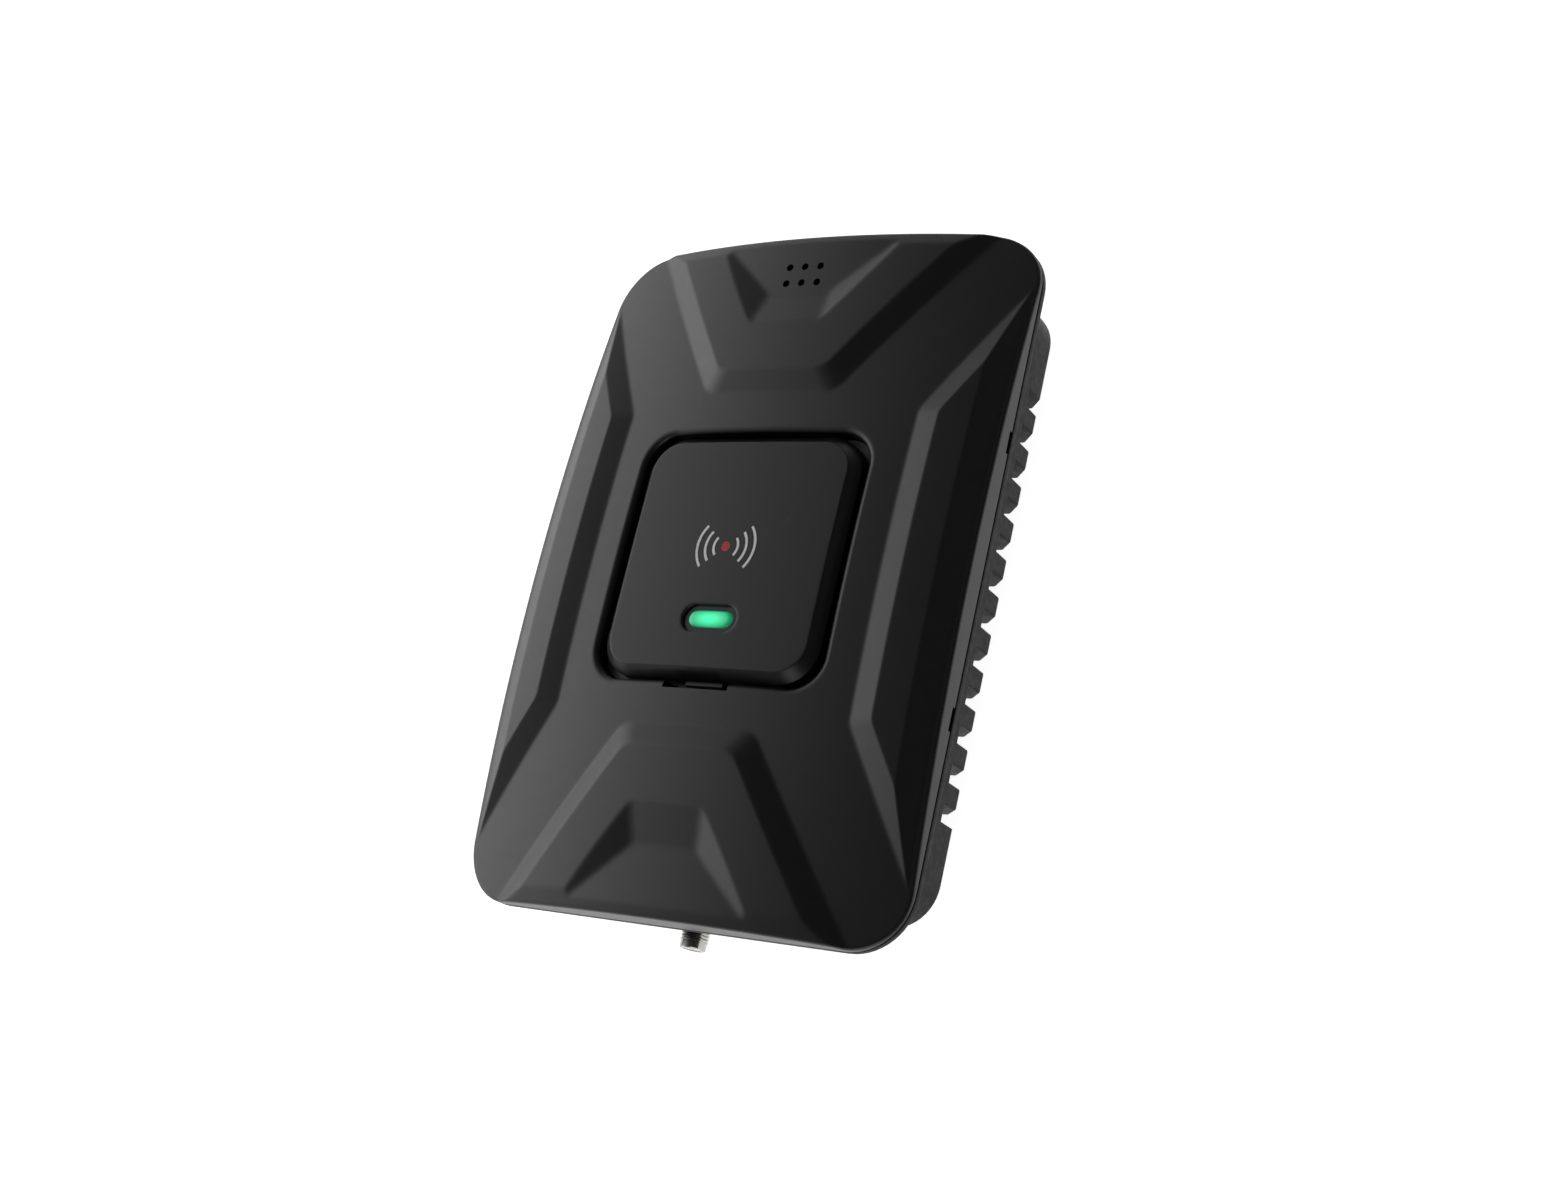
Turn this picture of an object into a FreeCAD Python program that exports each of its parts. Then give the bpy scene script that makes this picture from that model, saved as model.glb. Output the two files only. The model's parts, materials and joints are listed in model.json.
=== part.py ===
"""Cellular signal booster: a finned die-cast heat sink with a domed plastic front cover.

Frame: millimetres, +Z out of the front cover, +Y towards the indoor-antenna end, +X to the right
of the front face. The origin is on the surface that the unit lies on, under its middle.
"""
import FreeCAD
import Part
import math
import os

Vector = FreeCAD.Vector

# Levels, from the resting surface upwards
SEAM_Z = 21.5
SEAM_GAP = 0.6
COVER_Z = SEAM_Z + SEAM_GAP / 2
FLANGE_TOP = SEAM_Z - SEAM_GAP / 2
FLANGE_BOTTOM = SEAM_Z - 2.0
FIN_ROOT_Z = 11.0
SINK_FLOOR_Z = FIN_ROOT_Z + 2.5
BOARD_Z = SINK_FLOOR_Z + 1.6
BOARD_TOP = BOARD_Z + 1.6
PORT_Z = SEAM_Z - 11.0

# Front cover
COVER_HALF_X = 58.2
COVER_HALF_Y = 82.1
COVER_CORNER = 13.5
COVER_WALL = 2.2
CROWN_Z = SEAM_Z + 12.55
CROWN_RADIUS_X = 243.0
CROWN_RADIUS_Y = 556.0
PAD_RISE = 2.1
COVER_BOSS_DEPTH = 2.0

# Cutting tools run this far past the faces that they cut
OVER = 1.0
TOOL_TOP = SEAM_Z + 30.0
TOOL_HALF = 90.0
TOOL_REACH = 12.0
DOME_BLOCK_DEPTH = 30.0
DOME_BLOCK_SWEEP = 20.0
INNER_WALL_BACK = 12.0
PAD_STRETCH = 0.2
WEDGE_START = -1.0
PAD_WEDGE_END = 2.0
RECESS_WEDGE_END = 3.0

# Raised pads: outline where each pad's wall leaves the dome, and where it meets the pad's top
END_PAD_FOOT = ((16.7, 40.9), (46.5, 84.0))
END_PAD_TOP = ((13.65, 46.1), (39.8, 84.0))
SIDE_PAD_FOOT = ((39.7, 36.1), (62.0, 75.3))
SIDE_PAD_TOP = ((45.4, 35.2), (62.0, 64.4))
PAD_FOOT_LIFT = 0.35
RECESS_FLOOR = ((8.5, 66.7, 8.4), (28.6, 84.5, 6.75))
RECESS_TOP = ((9.5, 58.0, 11.4), (31.0, 84.5, 7.5))
RECESS_FLOOR_CROWN = 8.55
RECESS_START_Y = 56.0
END_SLOPE_START = 78.3
END_SLOPE = 0.42
SIDE_SLOPE_START = 52.0
SIDE_SLOPE = 0.65

# Centre plate and the moat around it
MOAT_HALF = 31.5
MOAT_CORNER = 9.5
MOAT_LIP = 1.5
MOAT_LIP_DEPTH = 2.6
MOAT_FLOOR_Z = SEAM_Z + 6.0
MOAT_WALL = 1.8
PLATE_TOP_Z = SEAM_Z + 12.6
PLATE_HALF_X = 26.3
PLATE_HALF_Y = 27.0
PLATE_CORNER = 7.0
PLATE_FLARE = 2.2
PLATE_FLARE_DEPTH = 3.3
PLATE_WALL = 1.8
PLATE_LIFT_GAP = 0.3
PEG_REACH = 0.6
SKIRT_WALL = 2.8
PEG_RADIUS = 1.5
PEG_CLEARANCE = 0.1
PEG_X = 20.0
PEG_Y = 20.0
PRY_TAB_HALF = 5.0
PRY_NOTCH_HALF = 8.6
PRY_NOTCH_DEPTH = 0.3
PRY_TAB_REACH = 2.0
PRY_TAB_LIFT = 0.6
PRY_TAB_THICKNESS = 1.3

# Status window
WINDOW_Y = -15.6
WINDOW_LENGTH = 14.2
WINDOW_WIDTH = 6.2
LENS_LENGTH = 11.8
LENS_WIDTH = 4.0
LENS_SINK = 0.5
WINDOW_DEPTH = 1.0
LENS_BOTTOM_DEPTH = 3.2
COLLAR_WALL = 1.0
GUIDE_HEAD_HEIGHT = 0.8
GUIDE_LED_GAP = 0.5
GUIDE_LENGTH = LENS_LENGTH - 1.0
GUIDE_HEAD_LIP = 1.0

# Vents in the recess of the upper pad
VENT_RADIUS = 0.9
VENT_PITCH = 4.2
VENT_Y = 71.5

# Heat sink
SINK_HALF_X = 54.0
SINK_HALF_Y = 73.1
SINK_CORNER = 10.2
SINK_WALL = 3.0
FIN_COUNT = 11
FIN_PITCH = 8.8
FIN_THICKNESS = 4.8
EDGE_CHAMFER_X = 4.0
EDGE_CHAMFER_Z = 4.6
END_BAY_HALF_X = 34.0
END_BAY_FLOOR = 3.5
END_BAY_INNER_Y = 54.0
BOARD_STAND_RADIUS = 3.2
SCREW_COLUMN_RADIUS = 4.2

# Snap-hook windows in the cover's long sides, and the seal under its edge
CLIP_Y = 31.5
CLIP_LENGTH = 5.2
CLIP_HEIGHT = 0.9
CLIP_DEPTH = 1.4
GASKET_INSET = 0.7
GASKET_WIDTH = 1.4

# Circuit board
BOARD_HALF_X = 49.0
BOARD_HALF_Y = 54.0
TONGUE_HALF_X = 33.0
TONGUE_HALF_Y = 69.0
SHIELD_HEIGHT = 4.0
SHIELD_WALL = 0.4
SHIELD_INNER_X = 8.0
SHIELD_OUTER_X = 42.0
SHIELD_LOW_Y = -38.0
SHIELD_HIGH_Y = 40.0
SHIELD_VENT_RADIUS = 0.9
SHIELD_VENT_COLUMNS = 4
SHIELD_VENT_ROWS = 7
AMPLIFIER_PLACES = [(sx * 25.5, y) for sx in (-1, 1) for y in (-24.0, 0.0, 24.0)]
FILTER_PLACES = [(sx * x, y) for sx in (-1, 1) for x in (16.0, 35.0) for y in (-12.0, 12.0)]
SUPPLY_ROW_Y = -47.0
INDUCTOR_PLACES = [(x, SUPPLY_ROW_Y) for x in (14.0, 25.0)]
CAPACITOR_PLACES = [(x, SUPPLY_ROW_Y) for x in (-24.0, -15.0, 36.0)]
CONTROL_CHIP_PLACE = (0.0, 24.0)

# Sizes of the parts on the board: along X, along Y, height
AMPLIFIER_SIZE = (6.0, 6.0, 0.9)
FILTER_SIZE = (4.2, 3.4, 1.3)
CONTROL_CHIP_SIZE = (10.0, 10.0, 1.4)
INDUCTOR_SIZE = (7.3, 6.8, 3.6)
LED_SIZE = (3.2, 2.8, 1.9)
THERMAL_PAD_SIZE = (22.0, 18.0, BOARD_Z - SINK_FLOOR_Z)
CAPACITOR_RADIUS = 3.15
CAPACITOR_HEIGHT = 5.4

# Fasteners
COVER_SCREW_X = 42.0
COVER_SCREW_Y = 62.5
COVER_SCREW_RADIUS = 1.5
COVER_SCREW_HEAD = 2.8
COVER_SCREW_HEAD_HEIGHT = 2.4
COVER_SCREW_SEAT = 4.0
COVER_SCREW_TIP = COVER_Z + 3.4
COVER_BOSS_RADIUS = 3.6
BOARD_SCREW_X = 45.0
BOARD_SCREW_Y = 48.0
BOARD_SCREW_RADIUS = 1.25
BOARD_SCREW_HEAD = 2.25
BOARD_SCREW_HEAD_HEIGHT = 1.7
BOARD_SCREW_TIP = FIN_ROOT_Z + 0.8
BRACKET_X = 42.0
BRACKET_Y = 54.8
BRACKET_HOLE_RADIUS = 1.25
BRACKET_HOLE_DEPTH = 8.0
COVER_SCREW_CLEARANCE = 0.2
COUNTERBORE_CLEARANCE = 0.3
BOARD_HOLE_CLEARANCE = 0.15
COVER_RECESS = (1.6, 1.2)
BOARD_RECESS = (1.3, 0.9)
RECESS_HALF_WIDTH = 0.35

# Antenna ports: 1/4-36 threaded coaxial jacks
THREAD_RADIUS = 3.175
THREAD_ROOT_RADIUS = 2.75
THREAD_PITCH = 0.7056
THREAD_START_Y = 76.25
THREAD_TURNS = 9
BARREL_RADIUS = 2.9
PILOT_RADIUS = 2.95
PORT_TIP_Y = 84.5
PORT_BORE_RADIUS = 2.05
PORT_PIN_RADIUS = 0.64
PORT_SOCKET_RADIUS = 0.46
PORT_BLOCK_HALF = 3.3
PORT_BLOCK_INNER_Y = 60.5
NUT_ACROSS_FLATS = 8.0
NUT_THICKNESS = 2.0
WASHER_THICKNESS = 0.5
WASHER_RADIUS = 4.3
CREST_SHARE = 0.4
FLANK_SHARE = 0.2
TIP_BEVEL = 0.2
PANEL_HOLE_CLEARANCE = 0.1
WASHER_CLEARANCE = 0.2
CONTACT_TAIL = 1.2
CONTACT_SOCKET_DEPTH = 2.6
INSULATOR_SETBACK = 0.2
CONTACT_SETBACK = 0.3

# Power jack for a 5.5 mm barrel plug
JACK_X = 26.0
JACK_BORE_RADIUS = 2.85
JACK_PIN_RADIUS = 1.0
JACK_TAIL_RADIUS = 0.8
JACK_HALF_WIDTH = 4.5
JACK_DEPTH = 12.0
JACK_FACE_Y = -SINK_HALF_Y
JACK_BACK_Y = JACK_FACE_Y + JACK_DEPTH
JACK_BACK_WALL = 2.0
JACK_PIN_SETBACK = 1.0
JACK_TAIL = 0.6
SPRING_WIDTH = 2.0
SPRING_THICKNESS = 0.4
SPRING_START = 3.2
SPRING_GAP = 0.2
SPRING_SLOT_DEPTH = 0.8
SPRING_SLOT_REACH = 0.7


def box(x0, x1, y0, y1, z0, z1):
    return Part.makeBox(x1 - x0, y1 - y0, z1 - z0, Vector(x0, y0, z0))


def post(radius, x, y, z0, z1):
    return Part.makeCylinder(radius, z1 - z0, Vector(x, y, z0))


def rod_y(radius, x, z, y0, y1):
    return Part.makeCylinder(radius, y1 - y0, Vector(x, y0, z), Vector(0, 1, 0))


def mirror_x(shape):
    return shape.mirror(Vector(0, 0, 0), Vector(1, 0, 0))


def mirror_y(shape):
    return shape.mirror(Vector(0, 0, 0), Vector(0, 1, 0))


def four_corners(x, y):
    return [(sx * x, sy * y) for sx in (-1, 1) for sy in (-1, 1)]


def fuse(shapes):
    return shapes[0].multiFuse(shapes[1:]).removeSplitter()


def rounded_wire(half_x, half_y, radius, z, centre_y=0.0):
    """Closed rounded rectangle at height z."""
    corners = [(1, 1, 0), (-1, 1, 90), (-1, -1, 180), (1, -1, 270)]
    arcs = []
    for sx, sy, start in corners:
        centre = Vector(sx * (half_x - radius), centre_y + sy * (half_y - radius), z)
        arcs.append(Part.makeCircle(radius, centre, Vector(0, 0, 1), start, start + 90))
    edges = []
    for i, arc in enumerate(arcs):
        edges.append(arc)
        following = arcs[(i + 1) % len(arcs)]
        edges.append(Part.makeLine(arc.Vertexes[-1].Point, following.Vertexes[0].Point))
    return Part.Wire(edges)


def rounded_slab(half_x, half_y, radius, z0, z1, centre_y=0.0):
    face = Part.Face(rounded_wire(half_x, half_y, radius, z0, centre_y))
    return face.extrude(Vector(0, 0, z1 - z0))


def rounded_frustum(half_x, half_y, radius, z0, grow, z1):
    """Rounded slab whose outline grows by `grow` between z0 and z1."""
    lower = rounded_wire(half_x, half_y, radius, z0)
    upper = rounded_wire(half_x + grow, half_y + grow, radius + grow, z1)
    return Part.makeLoft([lower, upper], True, True)


def pill(length, width, y, z0, z1):
    """Upright slab with round ends, long along X."""
    reach = (length - width) / 2
    middle = box(-reach, reach, y - width / 2, y + width / 2, z0, z1)
    return fuse([middle, post(width / 2, -reach, y, z0, z1), post(width / 2, reach, y, z0, z1)])


def dome_height(x, y):
    """Height of the cover's dome above the seam."""
    return CROWN_Z - SEAM_Z - x * x / (2 * CROWN_RADIUS_X) - y * y / (2 * CROWN_RADIUS_Y)


def arc_sag(radius):
    """Drop of an arc of that radius from its crown to the end of a cutting tool."""
    return radius - math.sqrt(radius ** 2 - TOOL_HALF ** 2)


def dome_block(crown_z):
    """Solid under a doubly curved face whose highest point is on the Z axis."""
    edge_z = crown_z - arc_sag(CROWN_RADIUS_X)
    low_z = crown_z - DOME_BLOCK_DEPTH
    left = Vector(-TOOL_HALF, 0, edge_z)
    right = Vector(TOOL_HALF, 0, edge_z)
    arc = Part.Arc(left, Vector(0, 0, crown_z), right).toShape()
    base = Part.makePolygon([right, Vector(TOOL_HALF, 0, low_z), Vector(-TOOL_HALF, 0, low_z), left])
    face = Part.Face(Part.Wire([arc] + base.Edges))
    pivot = Vector(0, 0, crown_z - CROWN_RADIUS_Y)
    face.rotate(pivot, Vector(1, 0, 0), -DOME_BLOCK_SWEEP / 2)
    return face.revolve(pivot, Vector(1, 0, 0), DOME_BLOCK_SWEEP)


def slope_tool(start_x, crown_z, radius, slope, reach=TOOL_REACH):
    """Everything above a face arched along Y that starts at start_x and falls by `slope` per mm of X."""
    edge_z = crown_z - arc_sag(radius)
    near = Vector(start_x, -TOOL_HALF, edge_z)
    far = Vector(start_x, TOOL_HALF, edge_z)
    arc = Part.Arc(near, Vector(start_x, 0, crown_z), far).toShape()
    roof = Part.makePolygon([far, Vector(start_x, TOOL_HALF, TOOL_TOP),
                             Vector(start_x, -TOOL_HALF, TOOL_TOP), near])
    face = Part.Face(Part.Wire([arc] + roof.Edges))
    return face.extrude(Vector(reach, 0, -slope * reach))


def side_slope_tool():
    crown_z = SEAM_Z + PAD_RISE + dome_height(SIDE_SLOPE_START, 0)
    return slope_tool(SIDE_SLOPE_START, crown_z, CROWN_RADIUS_Y, SIDE_SLOPE)


def turned_to_end(shape):
    """A tool made for the +X side, turned to the +Y end."""
    shape.rotate(Vector(0, 0, 0), Vector(0, 0, 1), 90)
    return shape


def end_slope_tool():
    crown_z = SEAM_Z + PAD_RISE + dome_height(0, END_SLOPE_START)
    return turned_to_end(slope_tool(END_SLOPE_START, crown_z, CROWN_RADIUS_X, END_SLOPE))


def inner_wall_tool(foot, top, radius):
    """Everything above a pad's inner wall, which is arched like the dome under it.

    `foot` and `top` each hold the wall's distance from the middle line and its height there.
    """
    slope = (top[1] - foot[1]) / (top[0] - foot[0])
    start_z = foot[1] - slope * INNER_WALL_BACK
    return slope_tool(foot[0] - INNER_WALL_BACK, start_z, radius, -slope, INNER_WALL_BACK + TOOL_REACH)


def recess_tool():
    """Sunken V of an end pad: sloping walls over a floor that is level along Y and arched across."""
    near, far = RECESS_FLOOR
    floor = end_outline(near[:2], far[:2], SEAM_Z + near[2], SEAM_Z + far[2])
    near, far = RECESS_TOP
    rim = end_outline(near[:2], far[:2], SEAM_Z + near[2], SEAM_Z + far[2])
    above_floor = slope_tool(RECESS_START_Y, SEAM_Z + RECESS_FLOOR_CROWN, CROWN_RADIUS_X, 0,
                             COVER_HALF_Y + OVER - RECESS_START_Y)
    return wedge(floor, rim, RECESS_WEDGE_END).common(turned_to_end(above_floor))


def wedge(lower, upper, end):
    """Loft through two plane outlines, from below the lower one to `end` times the way to the upper one."""
    def outline(t):
        points = [a + (b - a) * t for a, b in zip(lower, upper)]
        return Part.makePolygon(points + points[:1])
    return Part.makeLoft([outline(WEDGE_START), outline(end)], True, True)


def end_outline(near, far, near_z, far_z):
    """Trapezium across the unit, from its near edge out past the end of the cover."""
    return [Vector(-near[0], near[1], near_z), Vector(near[0], near[1], near_z),
            Vector(far[0], far[1], far_z), Vector(-far[0], far[1], far_z)]


def side_outline(near, far, near_z, far_z):
    """Trapezium along the unit, from its inner edge out past the long side of the cover."""
    return [Vector(near[0], -near[1], near_z), Vector(near[0], near[1], near_z),
            Vector(far[0], far[1], far_z), Vector(far[0], -far[1], far_z)]


def pad_levels(foot, top):
    """Heights of a pad's foot corners, just above the dome, and of its top corners, above the raised dome."""
    foot_z = [SEAM_Z + dome_height(x, y) + PAD_FOOT_LIFT for x, y in foot]
    top_z = [SEAM_Z + dome_height(x, y) + PAD_RISE + PAD_FOOT_LIFT for x, y in top]
    return foot_z, top_z


def stretched(near, far):
    """The near point moved away from the far one, so that a wedge reaches in past the pad's inner wall."""
    return tuple(a + (a - b) * PAD_STRETCH for a, b in zip(near, far))


def pad_wedge(outline, foot, top):
    """Wedge between the outer walls of a pad, made with the outline function for its side of the cover."""
    foot_z, top_z = pad_levels(foot, top)
    levels = []
    for (near, far), (near_z, far_z) in ((foot, foot_z), (top, top_z)):
        start = stretched((*near, near_z), (*far, far_z))
        levels.append(outline(start[:2], far, start[2], far_z))
    return wedge(*levels, PAD_WEDGE_END).common(dome_block(CROWN_Z + PAD_RISE))


def end_pad():
    """Trapezium pad at the +Y end, with a sunken V in its top."""
    foot_y = END_PAD_FOOT[0][1]
    top_y = END_PAD_TOP[0][1]
    (foot_z,), (top_z,) = pad_levels([(0, foot_y)], [(0, top_y)])
    inner_wall = turned_to_end(inner_wall_tool((foot_y, foot_z), (top_y, top_z), CROWN_RADIUS_X))
    pad = pad_wedge(end_outline, END_PAD_FOOT, END_PAD_TOP).cut(inner_wall)
    return pad.cut(recess_tool()).cut(end_slope_tool())


def side_pad():
    """Long pad on the +X side, with a sloping outer face."""
    foot_x = SIDE_PAD_FOOT[0][0]
    top_x = SIDE_PAD_TOP[0][0]
    (foot_z,), (top_z,) = pad_levels([(foot_x, 0)], [(top_x, 0)])
    inner_wall = inner_wall_tool((foot_x, foot_z), (top_x, top_z), CROWN_RADIUS_Y)
    pad = pad_wedge(side_outline, SIDE_PAD_FOOT, SIDE_PAD_TOP).cut(inner_wall)
    return pad.cut(side_slope_tool())


def cover_skin():
    """Solid outer form of the cover: a dome with four raised pads and sloping edges."""
    outline = rounded_slab(COVER_HALF_X, COVER_HALF_Y, COVER_CORNER, COVER_Z, TOOL_TOP)
    upper = end_pad()
    right = side_pad()
    return fuse([dome_block(CROWN_Z), upper, mirror_y(upper), right, mirror_x(right)]).common(outline)


def moat_pocket():
    """Space of the moat, with a flared lip and a notch that is open to the top for the pry tab."""
    lip_z = SEAM_Z + dome_height(0, MOAT_HALF) - MOAT_LIP_DEPTH
    inner_half = MOAT_HALF - MOAT_LIP
    corner = MOAT_CORNER - MOAT_LIP
    growth = MOAT_LIP * (TOOL_TOP - lip_z) / MOAT_LIP_DEPTH
    pocket = rounded_slab(inner_half, inner_half, corner, MOAT_FLOOR_Z, lip_z)
    flare = rounded_frustum(inner_half, inner_half, corner, lip_z, growth, TOOL_TOP)
    notch = box(-PRY_NOTCH_HALF, PRY_NOTCH_HALF, -MOAT_HALF - PRY_NOTCH_DEPTH, OVER - inner_half,
                MOAT_FLOOR_Z, TOOL_TOP)
    return fuse([pocket, flare, notch])


def clip_windows():
    """Snap-hook windows in the lower edge of both long sides."""
    half = CLIP_LENGTH / 2
    windows = []
    for x, y in four_corners(COVER_HALF_X, CLIP_Y):
        inner = x - math.copysign(CLIP_DEPTH, x)
        outer = x + math.copysign(OVER, x)
        windows.append(box(min(inner, outer), max(inner, outer), y - half, y + half,
                           COVER_Z - OVER, COVER_Z + CLIP_HEIGHT))
    return windows


def cover_cavity():
    """Hollow under the cover, less the tub of the moat and the screw bosses."""
    cavity = rounded_slab(COVER_HALF_X - COVER_WALL, COVER_HALF_Y - COVER_WALL, COVER_CORNER - COVER_WALL,
                          COVER_Z - OVER, TOOL_TOP).common(dome_block(CROWN_Z - COVER_WALL))
    tub_half = MOAT_HALF + MOAT_WALL
    tub = rounded_slab(tub_half, tub_half, MOAT_CORNER, MOAT_FLOOR_Z - COVER_WALL, TOOL_TOP)
    bosses = [post(COVER_BOSS_RADIUS, x, y, COVER_Z - COVER_BOSS_DEPTH, TOOL_TOP)
              for x, y in four_corners(COVER_SCREW_X, COVER_SCREW_Y)]
    return cavity.cut(fuse([tub] + bosses))


def cover_holes():
    """Peg holes, screw holes, vents, the light guide's slot and the snap-hook windows."""
    holes = [post(PEG_RADIUS + PEG_CLEARANCE, x, y, COVER_Z, MOAT_FLOOR_Z + OVER)
             for x, y in four_corners(PEG_X, PEG_Y)]
    holes += [post(COVER_SCREW_RADIUS, x, y, COVER_Z - COVER_BOSS_DEPTH, COVER_SCREW_TIP)
              for x, y in four_corners(COVER_SCREW_X, COVER_SCREW_Y)]
    holes += [post(VENT_RADIUS, column * VENT_PITCH, VENT_Y + row * VENT_PITCH, COVER_Z, TOOL_TOP)
              for column in (-1, 0, 1) for row in (-0.5, 0.5)]
    holes.append(pill(GUIDE_LENGTH, LENS_WIDTH, WINDOW_Y, COVER_Z, MOAT_FLOOR_Z + OVER))
    return holes + clip_windows()


def front_cover():
    feet = [post(COVER_BOSS_RADIUS, x, y, FLANGE_TOP, COVER_Z + OVER)
            for x, y in four_corners(COVER_SCREW_X, COVER_SCREW_Y)]
    shell = cover_skin().cut(cover_cavity())
    return fuse([shell] + feet).cut(moat_pocket()).cut(fuse(cover_holes()))


def pry_tab():
    """Tongue at the plate's lower edge that reaches into the notch."""
    low_y = -PLATE_HALF_Y - PLATE_FLARE
    low_z = MOAT_FLOOR_Z + PLATE_LIFT_GAP + PRY_TAB_LIFT
    return box(-PRY_TAB_HALF, PRY_TAB_HALF, low_y - PRY_TAB_REACH, low_y + OVER,
               low_z, low_z + PRY_TAB_THICKNESS)


def centre_plate():
    """Snap-in plate with flared sides, four pegs below and a pry tab at its lower edge."""
    flare_z = PLATE_TOP_Z - PLATE_FLARE_DEPTH
    outer_x = PLATE_HALF_X + PLATE_FLARE
    outer_y = PLATE_HALF_Y + PLATE_FLARE
    corner = PLATE_CORNER + PLATE_FLARE
    skirt_z = MOAT_FLOOR_Z + PLATE_LIFT_GAP
    under_z = PLATE_TOP_Z - PLATE_WALL
    top = rounded_frustum(outer_x, outer_y, corner, flare_z, -PLATE_FLARE, PLATE_TOP_Z)
    skirt = rounded_slab(outer_x, outer_y, corner, skirt_z, flare_z)
    hollow = rounded_slab(outer_x - SKIRT_WALL, outer_y - SKIRT_WALL, PLATE_CORNER, skirt_z - OVER, under_z)
    collar = pill(WINDOW_LENGTH + 2 * COLLAR_WALL, WINDOW_WIDTH + 2 * COLLAR_WALL, WINDOW_Y,
                  PLATE_TOP_Z - LENS_BOTTOM_DEPTH, under_z)
    peg_z = MOAT_FLOOR_Z - COVER_WALL - PEG_REACH
    pegs = [post(PEG_RADIUS, x, y, peg_z, under_z) for x, y in four_corners(PEG_X, PEG_Y)]
    plate = fuse([fuse([top, skirt]).cut(hollow), pry_tab(), collar] + pegs)
    window = pill(WINDOW_LENGTH, WINDOW_WIDTH, WINDOW_Y, PLATE_TOP_Z - WINDOW_DEPTH, PLATE_TOP_Z + OVER)
    throat = pill(LENS_LENGTH, LENS_WIDTH, WINDOW_Y, PLATE_TOP_Z - LENS_BOTTOM_DEPTH - OVER,
                  PLATE_TOP_Z + OVER)
    return plate.cut(fuse([window, throat]))


def status_lens():
    """Clear pill that fills the throat of the window."""
    return pill(LENS_LENGTH, LENS_WIDTH, WINDOW_Y, PLATE_TOP_Z - LENS_BOTTOM_DEPTH, PLATE_TOP_Z - LENS_SINK)


def light_guide():
    """Clear bar that hangs in a slot of the moat's floor by its wider head."""
    head_z = MOAT_FLOOR_Z + GUIDE_HEAD_HEIGHT
    low_z = BOARD_TOP + LED_SIZE[2] + GUIDE_LED_GAP
    neck = pill(GUIDE_LENGTH, LENS_WIDTH, WINDOW_Y, low_z, head_z)
    head = pill(GUIDE_LENGTH + 2 * GUIDE_HEAD_LIP, LENS_WIDTH + 2 * GUIDE_HEAD_LIP, WINDOW_Y,
                MOAT_FLOOR_Z, head_z)
    return fuse([neck, head])


def seam_gasket():
    """Thin seal between the cover's edge and the heat sink's flange."""
    half_x = COVER_HALF_X - GASKET_INSET
    half_y = COVER_HALF_Y - GASKET_INSET
    corner = COVER_CORNER - GASKET_INSET
    outer = rounded_slab(half_x, half_y, corner, FLANGE_TOP, COVER_Z)
    inner = rounded_slab(half_x - GASKET_WIDTH, half_y - GASKET_WIDTH, corner - GASKET_WIDTH,
                         FLANGE_TOP - OVER, COVER_Z + OVER)
    return outer.cut(inner)


def board_screw_places():
    return four_corners(BOARD_SCREW_X, BOARD_SCREW_Y) + [(-BOARD_SCREW_X, 0), (BOARD_SCREW_X, 0)]


def heat_sink_body():
    """Solid body with a chamfered back edge and a flange under the cover's edge."""
    body = rounded_slab(SINK_HALF_X, SINK_HALF_Y, SINK_CORNER, EDGE_CHAMFER_Z, FLANGE_TOP)
    back = rounded_frustum(SINK_HALF_X, SINK_HALF_Y, SINK_CORNER, EDGE_CHAMFER_Z, -EDGE_CHAMFER_X, 0)
    flange = rounded_slab(COVER_HALF_X, COVER_HALF_Y, COVER_CORNER, FLANGE_BOTTOM, FLANGE_TOP)
    return fuse([body, back, flange])


def fin_slots():
    """Gaps between the fins, which run across the back."""
    gap = FIN_PITCH - FIN_THICKNESS
    first = -(FIN_COUNT + 1) / 2 * FIN_PITCH + FIN_THICKNESS / 2
    starts = [first + i * FIN_PITCH for i in range(FIN_COUNT + 1)]
    return [box(-SINK_HALF_X - OVER, SINK_HALF_X + OVER, y, y + gap, -OVER, FIN_ROOT_Z) for y in starts]


def sink_holes():
    """Screw holes, port holes and the power jack's opening."""
    holes = []
    for x, y in four_corners(COVER_SCREW_X, COVER_SCREW_Y):
        holes.append(post(COVER_SCREW_RADIUS + COVER_SCREW_CLEARANCE, x, y, -OVER, FLANGE_TOP + OVER))
        holes.append(post(COVER_SCREW_HEAD + COUNTERBORE_CLEARANCE, x, y, -OVER, COVER_SCREW_SEAT))
    for x, y in board_screw_places():
        holes.append(post(BOARD_SCREW_RADIUS, x, y, BOARD_SCREW_TIP, BOARD_Z + OVER))
    for x, y in four_corners(BRACKET_X, BRACKET_Y):
        holes.append(post(BRACKET_HOLE_RADIUS, x, y, -OVER, BRACKET_HOLE_DEPTH))
    wall_inside = SINK_HALF_Y - SINK_WALL - OVER
    panel_hole = rod_y(THREAD_RADIUS + PANEL_HOLE_CLEARANCE, 0, PORT_Z, wall_inside, SINK_HALF_Y + OVER)
    jack_opening = box(JACK_X - JACK_HALF_WIDTH, JACK_X + JACK_HALF_WIDTH, -SINK_HALF_Y - OVER, -wall_inside,
                       PORT_Z - JACK_HALF_WIDTH, PORT_Z + JACK_HALF_WIDTH)
    return holes + [panel_hole, mirror_y(panel_hole), jack_opening]


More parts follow.
